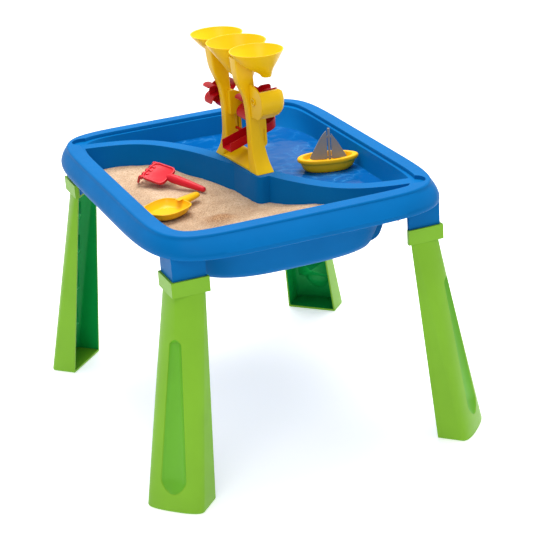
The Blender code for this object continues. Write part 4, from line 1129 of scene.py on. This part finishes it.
def make_boat(hull_mat, sail_mat):
    """A hull with a thick rubbing rail, a stepped cockpit with two thwarts, and a two-part sail on a mast."""
    rest = WATER_LEVEL + 0.0003
    hull = loft("hull", [hull_ring(scale, rest + z) for scale, z in (
        (0.66, 0.0), (0.74, 0.0012), (0.80, 0.0045), (0.845, 0.0090), (0.885, 0.0160), (0.902, 0.0202),
        (0.975, 0.0208), (0.993, 0.0220), (1.0, 0.0238), (0.998, 0.0262), (0.985, 0.0280), (0.965, 0.0290))])
    well = loft("well", [hull_ring(scale, rest + z) for scale, z in (
        (0.56, 0.0080), (0.62, 0.0088), (0.67, 0.0120), (0.78, 0.0240), (0.80, 0.0275), (0.84, 0.0310))])
    cut(hull, well)
    for x, half, top in ((-0.034, 0.006, 0.0200), (0.030, 0.010, 0.0215)):
        bench = box("bench", (x - half, -0.030, rest + 0.0060), (x + half, 0.030, rest + top))
        keep(bench, loft("bench_limit", [hull_ring(0.70, rest), hull_ring(0.86, rest + 0.0240)]))
        join(hull, bench)
    join(hull, rod("mast_step", 0.0065, MAST_AT, "Z", rest + 0.0060, rest + 0.0200, ROUND))
    cut(hull, rod("mast_hole", MAST_R + PIN_GAP, MAST_AT, "Z", rest + 0.0080, rest + 0.0300))
    place = standing(BOAT_AT, BOAT_TURN)
    bake(hull, "boat_hull_moulding", "boat", ["boat_hull"], hull_mat, place)
    foot = rest + 0.0215
    main = [(-0.036, foot + 0.004), (-0.030, foot + 0.001), (0.0015, foot), (0.0015, foot + 0.062),
            (-0.006, foot + 0.0545), (-0.014, foot + 0.043), (-0.025, foot + 0.024)]
    sail = prism("sail", rounded(main, 0.004, 4), "Y", -SAIL_HALF, SAIL_HALF)
    jib = [(0.0105, foot), (0.042, foot + 0.002), (0.035, foot + 0.015), (0.024, foot + 0.035),
           (0.0105, foot + 0.055)]
    pieces = [prism("jib", rounded(jib, 0.003, 4), "Y", -SAIL_HALF, SAIL_HALF),
              rod("mast", MAST_R, MAST_AT, "Z", rest + 0.0085, foot + 0.066)]
    for z in (0.002, 0.046):
        pieces.append(box("web", (0.0, -0.0011, foot + z), (0.0120, 0.0011, foot + z + 0.004)))
    for piece in pieces:
        join(sail, piece)
    bake(sail, "boat_sail_moulding", "boat", ["boat_sail"], sail_mat, place)


# ---- assembly ----
make_camera()
make_studio()
blue = plastic("tray_blue_plastic", (0.0002, 0.130, 0.385), 0.42, specular=0.05)
green = plastic("leg_green_plastic", (0.190, 0.430, 0.018), 0.40)
# the darker green for the legs' inner faces is painted shade, not a different plastic
green_inside_shaded = plastic("leg_inner_painted_shade", (0.002, 0.330, 0.060), 0.42)
# the groove's darker green is painted shade, not a different plastic
green_groove_shaded = plastic("leg_groove_painted_shade", (0.130, 0.410, 0.022), 0.40)
yellow = plastic("tower_yellow_plastic", (0.840, 0.520, 0.001), 0.32)
red = plastic("wheel_red_plastic", (0.480, 0.003, 0.008), 0.32)
rake_red = plastic("rake_red_plastic", (0.680, 0.014, 0.028), 0.33)
toy_yellow = plastic("toy_yellow_plastic", (0.860, 0.470, 0.003), 0.33)
grey = plastic("sail_grey_plastic", (0.240, 0.248, 0.262), 0.45)
wire = steel()
make_tray(blue)
make_plug(red)
for corner in CORNERS:
    make_leg(corner, green, green_inside_shaded, green_groove_shaded)
make_tower_frame(yellow)
make_funnel_head(yellow)
sand, water = sand_material(), water_material()
funnel_water = funnel_water_material()
for where, y in (("near", -FUNNEL_PITCH), ("far", FUNNEL_PITCH)):
    funnel_load(where + "_funnel_water", OUTER_FUNNEL, y, OUTER_LOAD_LEVEL, 0.0, funnel_water)
funnel_load("middle_funnel_sand", MIDDLE_FUNNEL, 0.0, MIDDLE_LOAD_LEVEL, MIDDLE_LOAD_HEAP, sand)
filling("sand_bed", -1, sand_height, "sand_fill", sand, 0.0035)
filling("water_body", 1, water_height, "water_fill", water, 0.0040)
make_hood(yellow)
make_chute(red)
make_wheel("sand_wheel_moulding", SAND_WHEEL, "sand_wheel", red)
make_wheel("far_wheel_moulding", FAR_WHEEL, "far_water_wheel", red)
make_wheel("near_wheel_moulding", NEAR_WHEEL, "near_water_wheel", red)
make_pins(wire)
make_rake(rake_red)
make_shovel(toy_yellow)
make_boat(toy_yellow, grey)
